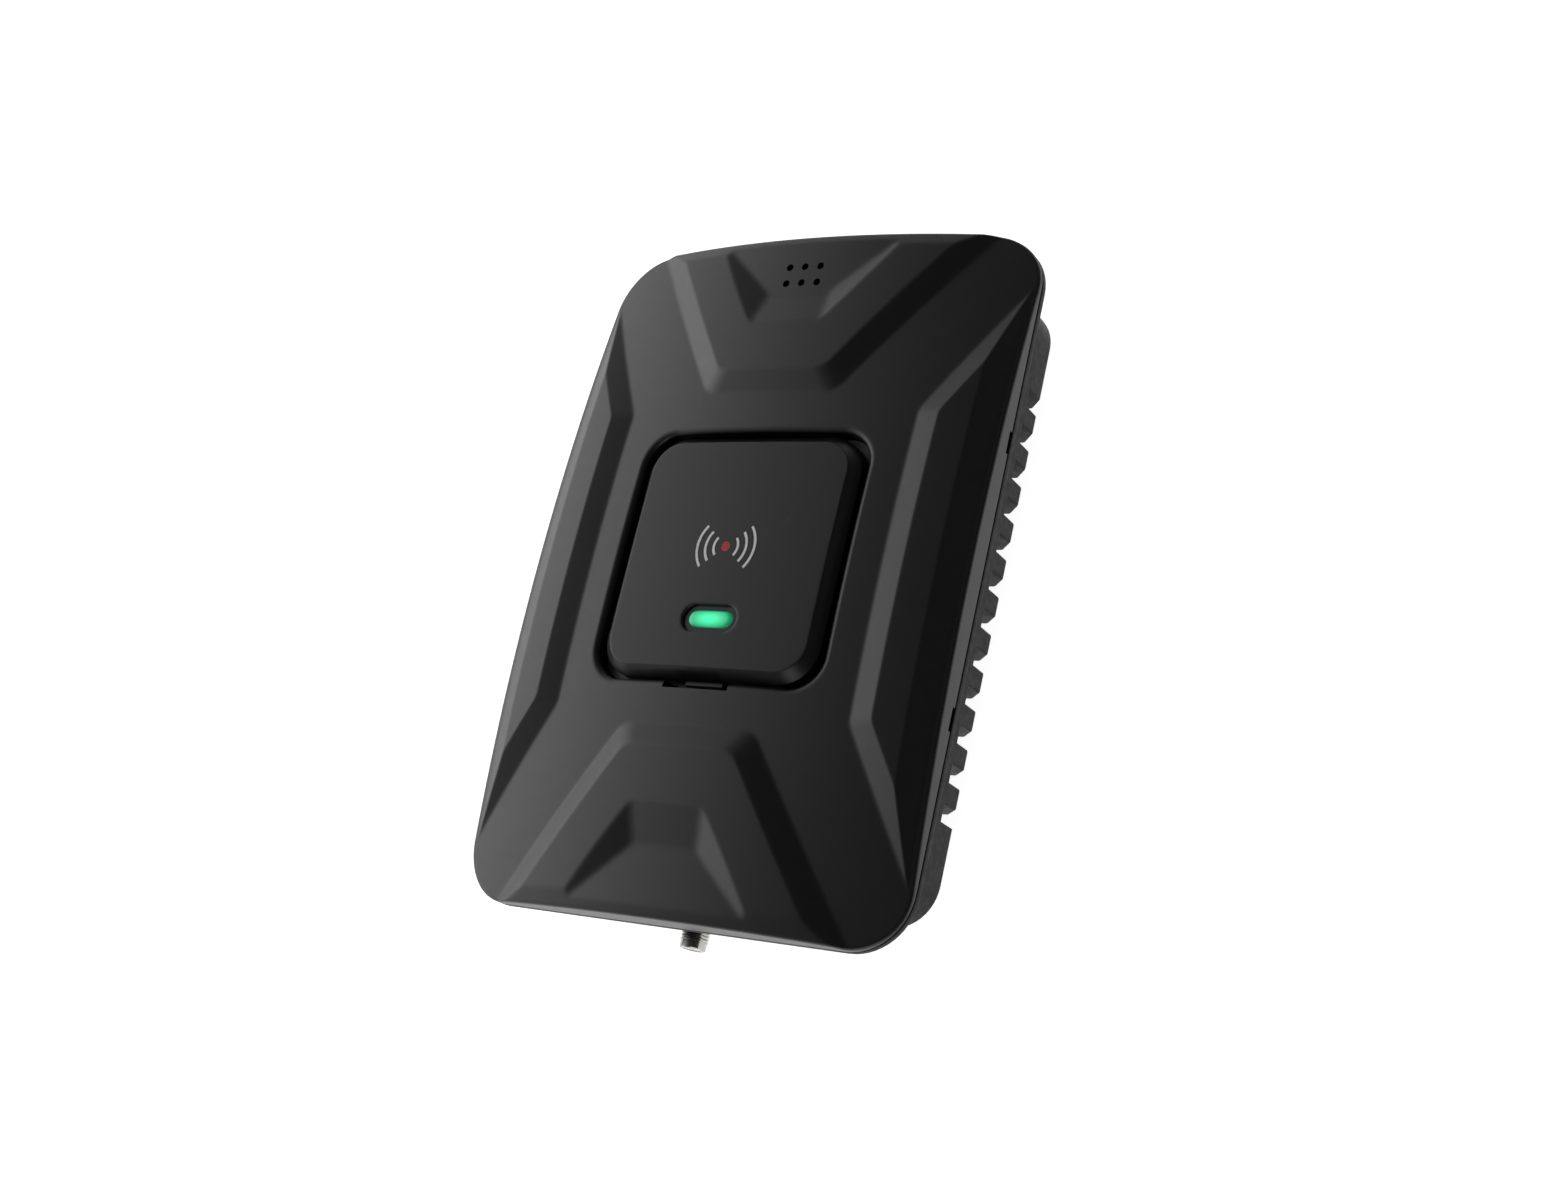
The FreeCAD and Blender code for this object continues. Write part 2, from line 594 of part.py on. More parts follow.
def heat_sink():
    tray = rounded_slab(SINK_HALF_X - SINK_WALL, SINK_HALF_Y - SINK_WALL, SINK_CORNER - SINK_WALL,
                        SINK_FLOOR_Z, FLANGE_TOP + OVER)
    columns = [post(SCREW_COLUMN_RADIUS, x, y, SINK_FLOOR_Z, FLANGE_TOP)
               for x, y in four_corners(COVER_SCREW_X, COVER_SCREW_Y)]
    stands = [post(BOARD_STAND_RADIUS, x, y, SINK_FLOOR_Z, BOARD_Z) for x, y in board_screw_places()]
    bay = box(-END_BAY_HALF_X, END_BAY_HALF_X, END_BAY_INNER_Y, SINK_HALF_Y - SINK_WALL,
              END_BAY_FLOOR, SINK_FLOOR_Z + OVER)
    sink = heat_sink_body().cut(tray.cut(fuse(columns + stands)))
    return sink.cut(fuse(fin_slots() + [bay, mirror_y(bay)] + sink_holes()))


def main_board():
    middle = box(-BOARD_HALF_X, BOARD_HALF_X, -BOARD_HALF_Y, BOARD_HALF_Y, BOARD_Z, BOARD_TOP)
    tongues = box(-TONGUE_HALF_X, TONGUE_HALF_X, -TONGUE_HALF_Y, TONGUE_HALF_Y, BOARD_Z, BOARD_TOP)
    holes = [post(BOARD_SCREW_RADIUS + BOARD_HOLE_CLEARANCE, x, y, BOARD_Z - OVER, BOARD_TOP + OVER)
             for x, y in board_screw_places()]
    return fuse([middle, tongues]).cut(fuse(holes))


def chip_group(places, size, base=BOARD_TOP):
    """Rectangular parts of one size standing at the given places, one solid each."""
    size_x, size_y, height = size
    return Part.makeCompound([box(x - size_x / 2, x + size_x / 2, y - size_y / 2, y + size_y / 2,
                                  base, base + height) for x, y in places])


def shield_can():
    """Sheet-metal lid with vent holes over the amplifier chain on the +X side."""
    top = BOARD_TOP + SHIELD_HEIGHT
    width = SHIELD_OUTER_X - SHIELD_INNER_X
    length = SHIELD_HIGH_Y - SHIELD_LOW_Y
    wall = SHIELD_WALL
    can = box(SHIELD_INNER_X, SHIELD_OUTER_X, SHIELD_LOW_Y, SHIELD_HIGH_Y, BOARD_TOP, top)
    can = can.cut(box(SHIELD_INNER_X + wall, SHIELD_OUTER_X - wall, SHIELD_LOW_Y + wall, SHIELD_HIGH_Y - wall,
                      BOARD_TOP - OVER, top - wall))
    vents = []
    for column in range(1, SHIELD_VENT_COLUMNS + 1):
        for row in range(1, SHIELD_VENT_ROWS + 1):
            x = SHIELD_INNER_X + width * column / (SHIELD_VENT_COLUMNS + 1)
            y = SHIELD_LOW_Y + length * row / (SHIELD_VENT_ROWS + 1)
            vents.append(post(SHIELD_VENT_RADIUS, x, y, top - OVER, top + OVER))
    return can.cut(Part.makeCompound(vents))


def filter_capacitors():
    return Part.makeCompound([post(CAPACITOR_RADIUS, x, y, BOARD_TOP, BOARD_TOP + CAPACITOR_HEIGHT)
                              for x, y in CAPACITOR_PLACES])


def port_profile():
    """Half section of a port's barrel, as radius and y: each turn's root and crest, then the plain tip."""
    points = [(PORT_BORE_RADIUS, PORT_BLOCK_INNER_Y), (BARREL_RADIUS, PORT_BLOCK_INNER_Y),
              (BARREL_RADIUS, THREAD_START_Y)]
    crest = THREAD_PITCH * CREST_SHARE
    flank = THREAD_PITCH * FLANK_SHARE
    for turn in range(THREAD_TURNS):
        y = THREAD_START_Y + turn * THREAD_PITCH
        next_crest = y + THREAD_PITCH - crest
        points += [(THREAD_ROOT_RADIUS, y + flank), (THREAD_ROOT_RADIUS, next_crest - flank),
                   (THREAD_RADIUS, next_crest), (THREAD_RADIUS, y + THREAD_PITCH)]
    end = THREAD_START_Y + THREAD_TURNS * THREAD_PITCH
    return points + [(PILOT_RADIUS, end), (PILOT_RADIUS, PORT_TIP_Y - TIP_BEVEL),
                     (PILOT_RADIUS - TIP_BEVEL, PORT_TIP_Y), (PORT_BORE_RADIUS, PORT_TIP_Y)]


def port_body():
    """Threaded barrel on a square block that hangs under the board, at the +Y end."""
    points = [Vector(radius, y, PORT_Z) for radius, y in port_profile()]
    face = Part.Face(Part.makePolygon(points + points[:1]))
    barrel = face.revolve(Vector(0, 0, PORT_Z), Vector(0, 1, 0), 360)
    half = PORT_BLOCK_HALF
    outer_y = PORT_BLOCK_INNER_Y + 2 * half
    block = box(-half, half, PORT_BLOCK_INNER_Y, outer_y, PORT_Z - half, BOARD_Z)
    bore = rod_y(PORT_BORE_RADIUS, 0, PORT_Z, PORT_BLOCK_INNER_Y, outer_y)
    return fuse([barrel, block.cut(bore)])


def port_insulator():
    tip = PORT_TIP_Y - INSULATOR_SETBACK
    sleeve = rod_y(PORT_BORE_RADIUS, 0, PORT_Z, PORT_BLOCK_INNER_Y, tip)
    return sleeve.cut(rod_y(PORT_PIN_RADIUS, 0, PORT_Z, PORT_BLOCK_INNER_Y - OVER, tip + OVER))


def port_contact():
    tip = PORT_TIP_Y - CONTACT_SETBACK
    pin = rod_y(PORT_PIN_RADIUS, 0, PORT_Z, PORT_BLOCK_INNER_Y - CONTACT_TAIL, tip)
    return pin.cut(rod_y(PORT_SOCKET_RADIUS, 0, PORT_Z, tip - CONTACT_SOCKET_DEPTH, tip + OVER))


def port_washer():
    end = SINK_HALF_Y + WASHER_THICKNESS
    outer = rod_y(WASHER_RADIUS, 0, PORT_Z, SINK_HALF_Y, end)
    return outer.cut(rod_y(BARREL_RADIUS + WASHER_CLEARANCE, 0, PORT_Z, SINK_HALF_Y - OVER, end + OVER))


def port_nut():
    start = SINK_HALF_Y + WASHER_THICKNESS
    corner_radius = NUT_ACROSS_FLATS / math.sqrt(3)
    angles = [math.radians(60 * i) for i in range(7)]
    points = [Vector(corner_radius * math.cos(a), start, PORT_Z + corner_radius * math.sin(a))
              for a in angles]
    nut = Part.Face(Part.makePolygon(points)).extrude(Vector(0, NUT_THICKNESS, 0))
    return nut.cut(rod_y(BARREL_RADIUS, 0, PORT_Z, start - OVER, start + NUT_THICKNESS + OVER))


def jack_housing():
    """Moulded block with a round mouth for the plug."""
    half = JACK_HALF_WIDTH
    block = box(JACK_X - half, JACK_X + half, JACK_FACE_Y, JACK_BACK_Y, PORT_Z - half, PORT_Z + half)
    mouth = rod_y(JACK_BORE_RADIUS, JACK_X, PORT_Z, JACK_FACE_Y - OVER, JACK_BACK_Y - JACK_BACK_WALL)
    tail_hole = rod_y(JACK_TAIL_RADIUS, JACK_X, PORT_Z,
                      JACK_BACK_Y - JACK_BACK_WALL - OVER, JACK_BACK_Y + OVER)
    slot_x = JACK_X + JACK_BORE_RADIUS
    slot_half = SPRING_WIDTH / 2 + SPRING_GAP
    slot = box(slot_x - SPRING_SLOT_DEPTH, slot_x + SPRING_SLOT_REACH,
               JACK_FACE_Y + SPRING_START - SPRING_GAP, JACK_BACK_Y + OVER,
               PORT_Z - slot_half, PORT_Z + slot_half)
    return block.cut(fuse([mouth, tail_hole, slot]))


def jack_pin():
    """Round-nosed pin that stands on the mouth's floor, with a thinner tail through the back wall."""
    start = JACK_FACE_Y + JACK_PIN_SETBACK
    shoulder = JACK_BACK_Y - JACK_BACK_WALL
    nose = Part.makeSphere(JACK_PIN_RADIUS, Vector(JACK_X, start, PORT_Z))
    pin = rod_y(JACK_PIN_RADIUS, JACK_X, PORT_Z, start, shoulder)
    return fuse([nose, pin, rod_y(JACK_TAIL_RADIUS, JACK_X, PORT_Z, shoulder, JACK_BACK_Y + JACK_TAIL)])


def jack_spring():
    """Leaf that presses on the plug's sleeve."""
    x = JACK_X + JACK_BORE_RADIUS + SPRING_GAP
    half = SPRING_WIDTH / 2
    return box(x, x + SPRING_THICKNESS, JACK_FACE_Y + SPRING_START, JACK_BACK_Y + JACK_TAIL,
               PORT_Z - half, PORT_Z + half)


def cross_recess(x, y, reach, z0, z1):
    half = RECESS_HALF_WIDTH
    return fuse([box(x - reach, x + reach, y - half, y + half, z0, z1),
                 box(x - half, x + half, y - reach, y + reach, z0, z1)])


def cover_screws():
    """Screws driven from the back into the cover's bosses, each with a cross recess."""
    reach, depth = COVER_RECESS
    head_low = COVER_SCREW_SEAT - COVER_SCREW_HEAD_HEIGHT
    screws = []
    for x, y in four_corners(COVER_SCREW_X, COVER_SCREW_Y):
        head = post(COVER_SCREW_HEAD, x, y, head_low, COVER_SCREW_SEAT)
        shank = post(COVER_SCREW_RADIUS, x, y, COVER_SCREW_SEAT, COVER_SCREW_TIP)
        screws.append(fuse([head, shank]).cut(cross_recess(x, y, reach, head_low - OVER, head_low + depth)))
    return Part.makeCompound(screws)


def board_screws():
    reach, depth = BOARD_RECESS
    head_top = BOARD_TOP + BOARD_SCREW_HEAD_HEIGHT
    screws = []
    for x, y in board_screw_places():
        head = post(BOARD_SCREW_HEAD, x, y, BOARD_TOP, head_top)
        shank = post(BOARD_SCREW_RADIUS, x, y, BOARD_SCREW_TIP, BOARD_TOP)
        screws.append(fuse([head, shank]).cut(cross_recess(x, y, reach, head_top - depth, head_top + OVER)))
    return Part.makeCompound(screws)


def board_parts():
    """Nodes that stand on the circuit board or lie under it."""
    right_can = shield_can()
    return {
        "status_led": chip_group([(0, WINDOW_Y)], LED_SIZE),
        "uplink_shield_can": mirror_x(right_can),
        "downlink_shield_can": right_can,
        "amplifier_chips": chip_group(AMPLIFIER_PLACES, AMPLIFIER_SIZE),
        "duplex_filters": chip_group(FILTER_PLACES, FILTER_SIZE),
        "control_chip": chip_group([CONTROL_CHIP_PLACE], CONTROL_CHIP_SIZE),
        "power_inductors": chip_group(INDUCTOR_PLACES, INDUCTOR_SIZE),
        "filter_capacitors": filter_capacitors(),
        "thermal_pads": chip_group(AMPLIFIER_PLACES, THERMAL_PAD_SIZE, SINK_FLOOR_Z),
        "board_screws": board_screws(),
    }


def antenna_ports():
    """Nodes of both antenna ports; the outside-antenna port mirrors the inside-antenna port."""
    pieces = {"body": port_body(), "insulator": port_insulator(), "contact": port_contact(),
              "washer": port_washer(), "nut": port_nut()}
    nodes = {}
    for name, shape in pieces.items():
        nodes["inside_port_" + name] = shape
        nodes["outside_port_" + name] = mirror_y(shape)
    return nodes


def whole_model():
    """Every node's name and shape."""
    nodes = {
        "front_cover": front_cover(),
        "centre_plate": centre_plate(),
        "status_lens": status_lens(),
        "light_guide": light_guide(),
        "seam_gasket": seam_gasket(),
        "heat_sink": heat_sink(),
        "main_board": main_board(),
        "power_jack_housing": jack_housing(),
        "power_jack_pin": jack_pin(),
        "power_jack_spring": jack_spring(),
        "cover_screws": cover_screws(),
    }
    nodes.update(board_parts())
    nodes.update(antenna_ports())
    return nodes


os.makedirs("parts", exist_ok=True)
for node, shape in whole_model().items():
    state = "valid" if shape.isValid() else "INVALID"
    print(node, len(shape.Solids), state, round(shape.Volume / 1000, 2), "cm3")
    shape.exportStep("parts/" + node + ".step")
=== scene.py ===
"""Looks of the cellular signal booster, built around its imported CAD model. All lengths are in metres."""

import json
import math

import bmesh
import bpy
import numpy as np
from mathutils import Matrix, Vector


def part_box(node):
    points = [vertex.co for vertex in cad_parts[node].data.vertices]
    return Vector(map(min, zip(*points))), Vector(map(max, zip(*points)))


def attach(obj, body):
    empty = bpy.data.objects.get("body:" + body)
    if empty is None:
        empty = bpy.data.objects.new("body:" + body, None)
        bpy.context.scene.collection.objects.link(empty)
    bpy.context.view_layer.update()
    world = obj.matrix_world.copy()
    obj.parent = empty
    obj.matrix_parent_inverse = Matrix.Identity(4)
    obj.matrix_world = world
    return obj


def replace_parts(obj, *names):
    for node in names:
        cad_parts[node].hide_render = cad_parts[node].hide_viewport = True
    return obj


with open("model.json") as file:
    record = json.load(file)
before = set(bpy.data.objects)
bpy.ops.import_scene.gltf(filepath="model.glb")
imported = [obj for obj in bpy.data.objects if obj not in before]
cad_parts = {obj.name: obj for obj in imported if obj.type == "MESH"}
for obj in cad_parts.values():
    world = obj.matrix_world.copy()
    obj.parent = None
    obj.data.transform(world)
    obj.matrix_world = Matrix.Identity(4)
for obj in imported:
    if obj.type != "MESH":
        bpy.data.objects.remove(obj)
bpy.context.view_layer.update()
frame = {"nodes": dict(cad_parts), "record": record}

MM = 0.001

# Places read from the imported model
COVER_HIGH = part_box("front_cover")[1]
GASKET_LOW, GASKET_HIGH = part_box("seam_gasket")
PLATE_LOW, PLATE_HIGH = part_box("centre_plate")
LENS_LOW, LENS_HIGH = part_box("status_lens")
BOARD_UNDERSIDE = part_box("main_board")[0].z
SEAM = (GASKET_LOW.z + GASKET_HIGH.z) / 2
COVER_BASE = GASKET_HIGH.z
COVER_HALF_X = COVER_HIGH.x
COVER_HALF_Y = COVER_HIGH.y
PLATE_TOP = PLATE_HIGH.z
WINDOW_Y = (LENS_LOW.y + LENS_HIGH.y) / 2
LENS_HALF_X = LENS_HIGH.x
LENS_HALF_Y = (LENS_HIGH.y - LENS_LOW.y) / 2

# Front cover: dome and raised pads, with heights above the seam. A foot has its near and far corner, and a
# top or rim its near corner.
COVER_CORNER = 13.5 * MM
COVER_WALL = 2.2 * MM
RIM_ROUND = 0.55 * MM
CROWN = 12.55 * MM
CROWN_RADIUS_X = 243 * MM
CROWN_RADIUS_Y = 556 * MM
PAD_RISE = 2.1 * MM
PAD_FOOT_LIFT = 0.35 * MM
END_PAD_FOOT = ((16.7 * MM, 40.9 * MM), (46.5 * MM, 84.0 * MM))
END_PAD_TOP = (13.65 * MM, 46.1 * MM)
SIDE_PAD_FOOT = ((39.7 * MM, 36.1 * MM), (62.0 * MM, 75.3 * MM))
SIDE_PAD_TOP = (45.4 * MM, 35.2 * MM)
RECESS_FOOT = ((8.5 * MM, 66.7 * MM), (28.6 * MM, 84.5 * MM))
RECESS_RIM = (9.5 * MM, 58.0 * MM)
RECESS_FLOOR = 8.55 * MM
RECESS_DEPTH = 3.03 * MM
END_SLOPE_START = 78.3 * MM
END_SLOPE = 0.42
SIDE_SLOPE_START = 52.0 * MM
SIDE_SLOPE = 0.65
CREASE = 0.06 * MM
SOFT_CREASE = 0.18 * MM

# Rounding where two walls of a pad or recess meet, as a share of the wall's height
SIDE_CORNER_ROUND = 0.12
END_CORNER_ROUND = 0.45
RECESS_CORNER_ROUND = 0.12
RECESS_FOOT_ROUND = 0.10

# Moat around the centre plate, and the notch in its lower wall, which is cut from well above the cover
MOAT_HALF = 31.5 * MM
MOAT_CORNER = 9.5 * MM
MOAT_FLOOR = SEAM + 6.0 * MM
MOAT_LIP = 1.5 * MM
MOAT_LIP_DROP = 2.6 * MM
MOAT_LIP_ROUND = 1.6 * MM
MOAT_LIP_STEPS = 5
MOAT_LIP_SHARES = (0.35, 0.7)
MOAT_FOOT = 0.5 * MM
MOAT_WALL = 1.8 * MM
CAP_HALF = 10.0 * MM
INNER_CORNER = 2.0 * MM
NOTCH_HALF = 8.6 * MM
NOTCH_DEPTH = 0.3 * MM
NOTCH_ROUND = 0.25 * MM
NOTCH_TOP = SEAM + 30 * MM

# Grid of the cover: points along each long side, short side and corner of a ring, and rings over the skin
# and under the roof
LONG_SIDE_POINTS = 190
SHORT_SIDE_POINTS = 130
CORNER_POINTS = 28
SKIN_RINGS = 92
ROOF_RINGS = 8

# Least height of the cover's inner roof over its foot, at the walls, and how much that grows towards the moat
ROOF_GAP = 0.05 * MM
ROOF_RISE = 0.1 * MM

# Centre plate. PLATE_POINTS counts the points along each long side, short side and corner of a ring, and the
# heat sink's counts below are in the same order.
PLATE_FLARE = 2.2 * MM
PLATE_FLARE_DROP = 3.3 * MM
PLATE_CORNER = 7.0 * MM
PLATE_WALL = 1.8 * MM
PLATE_EDGE_ROUND = 0.45 * MM
PLATE_CROWN_RADIUS = 430 * MM
PLATE_POINTS = (64, 64, 18)
PLATE_RINGS = 30
PLATE_EDGE_RINGS = 7
BEZEL_RINGS = 5
SKIRT_WALL = 2.8 * MM
SKIRT_GAP = 0.3 * MM
PEG_RADIUS = 1.5 * MM
PEG_PLACE = 20.0 * MM
PEG_GAP = 0.1 * MM
PEG_ROOT = 0.4 * MM
TAB_HALF = 5.0 * MM
TAB_REACH = 1.0 * MM
TAB_LIFT = 0.6 * MM
TAB_THICKNESS = 1.3 * MM
TAB_ROUND = 0.22 * MM
WINDOW_HALF = (7.1 * MM, 3.1 * MM)
WINDOW_DEPTH = 1.0 * MM
BEZEL = 0.45 * MM
COLLAR = 1.0 * MM

# Status lens: inset and drop in mm of each ring of its domed top
LENS_DOME = ((0, 0.7), (0.12, 0.42), (0.4, 0.17), (0.9, 0.03), (1.4, 0))
LENS_SHARP_ANGLE = math.radians(50)

# Vents, fasteners, light guide's slot and clips in the cover
VENT_RADIUS = 0.9 * MM
VENT_PITCH = 4.2 * MM
VENT_Y = 71.5 * MM
COVER_SCREW_PLACE = (42.0 * MM, 62.5 * MM)
COVER_SCREW_RADIUS = 1.5 * MM
SCREW_HOLE_DEPTH = 3.4 * MM
BOSS_RADIUS = 3.6 * MM
BOSS_HEIGHT = 4.0 * MM
GUIDE_INSET = 0.5 * MM
CLIP_Y = 31.5 * MM
CLIP_HALF = 2.6 * MM
CLIP_DEPTH = 1.4 * MM
CLIP_HEIGHT = 0.9 * MM

# Heat sink: the body's underside shows between the fins, and the fins' tops are buried in it
FLANGE_TOP = GASKET_LOW.z
FLANGE_THICKNESS = 1.7 * MM
SINK_HALF_X = 54.0 * MM
SINK_HALF_Y = 73.1 * MM
SINK_CORNER = 10.2 * MM
FIN_COUNT = 11
FIN_PITCH = 8.8 * MM
FIN_THICKNESS = 4.8 * MM
EDGE_CHAMFER = (4.0 * MM, 4.6 * MM)
FIN_ROUND = 0.55 * MM
FIN_TOP = 13.0 * MM
BODY_LOW = 10.0 * MM
BODY_TOP = FLANGE_TOP - 0.6 * MM
BODY_ROUND = 0.3 * MM
SINK_POINTS = (40, 30, 12)
FLANGE_POINTS = (40, 30, 14)
FLANGE_ROUND = 0.35 * MM

# End blocks: shares of the chamfer's width and height at each ring up it, and how far the ring before them
# lies above the back, as a share of the rounding
END_CHAMFER = ((0.93, 0.08), (0.07, 0.92), (0.01, 1.0), (0.0, 1.1))
END_BACK_RISE = 0.12
END_BLOCK_ROUND = 0.2 * MM

# Inside of the heat sink, and its holes
SINK_WALL = 3.0 * MM
SINK_FLOOR = 13.5 * MM
SCREW_COLUMN_RADIUS = 4.2 * MM
COUNTERBORE_RADIUS = 3.1 * MM
COUNTERBORE_DEPTH = 4.0 * MM
STAND_RADIUS = 3.2 * MM
BOARD_SCREW_PLACE = (45.0 * MM, 48.0 * MM)
BOARD_SCREW_RADIUS = 1.25 * MM
BOARD_SCREW_TIP = 11.8 * MM
END_BAY_HALF_X = 34.0 * MM
END_BAY_INNER_Y = 54.0 * MM
END_BAY_FLOOR = 3.5 * MM
END_BAY_GAP = 0.05 * MM
SCREW_CLEARANCE = 0.2 * MM
BRACKET_HOLE_PLACE = (42.0 * MM, 54.8 * MM)
BRACKET_HOLE_RADIUS = 1.25 * MM
BRACKET_HOLE_DEPTH = 8.0 * MM
PORT_HOLE_RADIUS = 3.275 * MM

# Studio: a low glow on the left and a broad lamp off the near end, each with the direction towards it, and a
# glowing floor that lies a little under the part and rises beyond its flat middle
SKY_TOWARDS = (-0.95, 0.10, 0.28)
SKY_TIGHTNESS = 4.5
SKY_PEAK = 2.75
SKY_BASE = 0.07
SUN_TOWARDS = (0.2, -0.93, 0.3)
SUN_STRENGTH = 0.6
FLOOR_GLOW = 0.92
FLOOR_HALF = 4.0
FLOOR_RISE = 0.5
FLOOR_GAP = 0.2 * MM

# Camera: where it is and looks, which way is up in the picture, and its focal length for a 36 mm sensor
CAMERA_PLACE = (0.26648, -0.14343, 0.39708)
CAMERA_LOOK = (-0.54016, 0.29377, -0.78862)
CAMERA_UP = (-0.02802, 0.93030, 0.36574)
CAMERA_LENS = 48.89
SENSOR_WIDTH = 36

# Cutting solids run this far past the faces that they cut
OVER = 1.0 * MM

# Where an edge is rounded in two steps, the ring between them is in and up by this share
MID_ROUND = 0.3
BEVEL_SEGMENTS = 3

# Edges that turn more than this stay sharp
SHARP_ANGLE = math.radians(38)

# Keeps a division clear of zero
TINY = 1e-9

# Most noise lies between these values, and edges wear between these two degrees of sharpness
NOISE_LOW, NOISE_HIGH = 0.3, 0.7
NOISE_ROUGHNESS = 0.55
WEAR_START, WEAR_FULL = 0.58, 0.68

# Black plastic, from its darker to its lighter patches
PLASTIC_DARK = (0.0035, 0.0035, 0.0038)
PLASTIC_LIGHT = (0.005, 0.005, 0.0053)

# Half length and half width of the lens's glow
GLOW_REACH = (6.2 * MM, 2.6 * MM)

# Radio-wave symbol on the plate: a dot and arcs, of ink that starts just under the top
MARK_Y = 1.3 * MM
MARK_DOT_RADIUS = 1.15 * MM
MARK_RADII = (3.2 * MM, 5.4 * MM, 7.6 * MM)
MARK_STROKE = 0.62 * MM
MARK_SPREAD = 80
INK_LOW = PLATE_TOP - 0.02 * MM
INK_HIGH = PLATE_TOP + 0.03 * MM


def smooth_min(a, b, radius):
    blend = np.clip(0.5 + 0.5 * (b - a) / radius, 0.0, 1.0)
    return b * (1 - blend) + a * blend - radius * blend * (1 - blend)


def smooth_max(a, b, radius):
    return -smooth_min(-a, -b, radius)


def climb(foot, foot_far, top):
    """Share of the way up a wall: 0 along the line of its foot, 1 at the top point and in line with it."""
    along = (foot_far[0] - foot[0], foot_far[1] - foot[1])
    reach = along[0] * (top[1] - foot[1]) - along[1] * (top[0] - foot[0])
    return lambda x, y: (along[0] * (y - foot[1]) - along[1] * (x - foot[0])) / reach


def dome_height(x, y):
    """Height of the cover's dome above the seam."""
    return CROWN - x * x / (2 * CROWN_RADIUS_X) - y * y / (2 * CROWN_RADIUS_Y)


def raised_pad(x, y, inner, outer, corner_round, crest_round):
    """Dome lifted by a pad: `inner` and `outer` are the shares of the way up its inner and diagonal walls."""
    share = smooth_min(inner, outer, corner_round)
    wall = dome_height(x, y) + PAD_FOOT_LIFT + PAD_RISE * share
    return smooth_min(wall, dome_height(x, y) + PAD_RISE, crest_round)


def side_pad(x, y):
    near, far = SIDE_PAD_FOOT
    inner = (x - near[0]) / (SIDE_PAD_TOP[0] - near[0])
    pad = raised_pad(x, y, inner, climb(near, far, SIDE_PAD_TOP)(x, y), SIDE_CORNER_ROUND, CREASE)
    crest = dome_height(SIDE_SLOPE_START, 0) + PAD_RISE
    slope = crest - SIDE_SLOPE * (x - SIDE_SLOPE_START) - y * y / (2 * CROWN_RADIUS_Y)
    return smooth_min(pad, slope, SOFT_CREASE)


def end_pad(x, y):
    near, far = END_PAD_FOOT
    inner = (y - near[1]) / (END_PAD_TOP[1] - near[1])
    pad = raised_pad(x, y, inner, climb(near, far, END_PAD_TOP)(x, y), END_CORNER_ROUND, CREASE)
    crest = dome_height(0, END_SLOPE_START) + PAD_RISE
    slope = crest - END_SLOPE * (y - END_SLOPE_START) - x * x / (2 * CROWN_RADIUS_X)
    return smooth_min(smooth_min(pad, recess(x, y), CREASE), slope, SOFT_CREASE)


def recess(x, y):
    """Sunken V in the top of an end pad: walls that rise from a floor arched like the dome."""
    near, far = RECESS_FOOT
    arch = x * x / (2 * CROWN_RADIUS_X)
    near_wall = (near[1] - y) / (near[1] - RECESS_RIM[1])
    flank = climb(near, far, RECESS_RIM)(x, y)
    share = smooth_max(smooth_max(near_wall, flank, RECESS_CORNER_ROUND), 0 * x, RECESS_FOOT_ROUND)
    return RECESS_FLOOR + RECESS_DEPTH * share - arch


def skin_height(x, y):
    """Height of the cover's outer skin in the shared frame, with softly rounded creases."""
    x, y = np.abs(x), np.abs(y)
    pads = smooth_max(side_pad(x, y), end_pad(x, y), CREASE)
    return SEAM + smooth_max(dome_height(x, y), pads, SOFT_CREASE)


def ring(half_x, half_y, corner, points=(LONG_SIDE_POINTS, SHORT_SIDE_POINTS, CORNER_POINTS)):
    """Plan of a rounded rectangle, anticlockwise from the lower end of its +X side."""
    long_side, short_side, arc = points
    flat_x, flat_y = half_x - corner, half_y - corner
    quarters = [(1, 1, 0, long_side), (-1, 1, 90, short_side),
                (-1, -1, 180, long_side), (1, -1, 270, short_side)]
    plan = []
    for (sx, sy, start, side_points) in quarters:
        centre = np.array([sx * flat_x, sy * flat_y])
        heading = math.radians(start)
        begin = centre + corner * np.array([math.cos(heading), math.sin(heading)])
        along = np.array([-math.sin(heading), math.cos(heading)])
        length = 2 * (flat_y if start % 180 == 0 else flat_x)
        for i in range(side_points):
            plan.append(begin - along * length * (1 - i / side_points))
        for i in range(arc):
            a = heading + math.pi / 2 * i / arc
            plan.append(centre + corner * np.array([math.cos(a), math.sin(a)]))
    return np.array(plan)


def at_height(plan, z):
    return np.column_stack([plan, np.broadcast_to(z, len(plan))])


def rings_to_mesh(name, rings, closed=False):
    """Closed surface through rings of equally many points, capped at both ends or joined end to end."""
    count = len(rings[0])
    points = np.concatenate(rings)
    faces = []
    for level in range(len(rings) if closed else len(rings) - 1):
        low, high = level * count, (level + 1) % len(rings) * count
        for i in range(count):
            j = (i + 1) % count
            faces.append((low + i, low + j, high + j, high + i))
    if not closed:
        faces += [tuple(range(count))[::-1], tuple(range(len(points) - count, len(points)))]
    mesh = bpy.data.meshes.new(name)
    mesh.from_pydata(points.tolist(), [], faces)
    outward(mesh)
    return mesh


def outward(mesh):
    work = bmesh.new()
    work.from_mesh(mesh)
    bmesh.ops.recalc_face_normals(work, faces=work.faces)
    work.to_mesh(mesh)
    work.free()


def joined(name, meshes):
    """One mesh of several separate closed ones."""
    work = bmesh.new()
    for part in meshes:
        work.from_mesh(part)
    mesh = bpy.data.meshes.new(name)
    work.to_mesh(mesh)
    work.free()
    return mesh


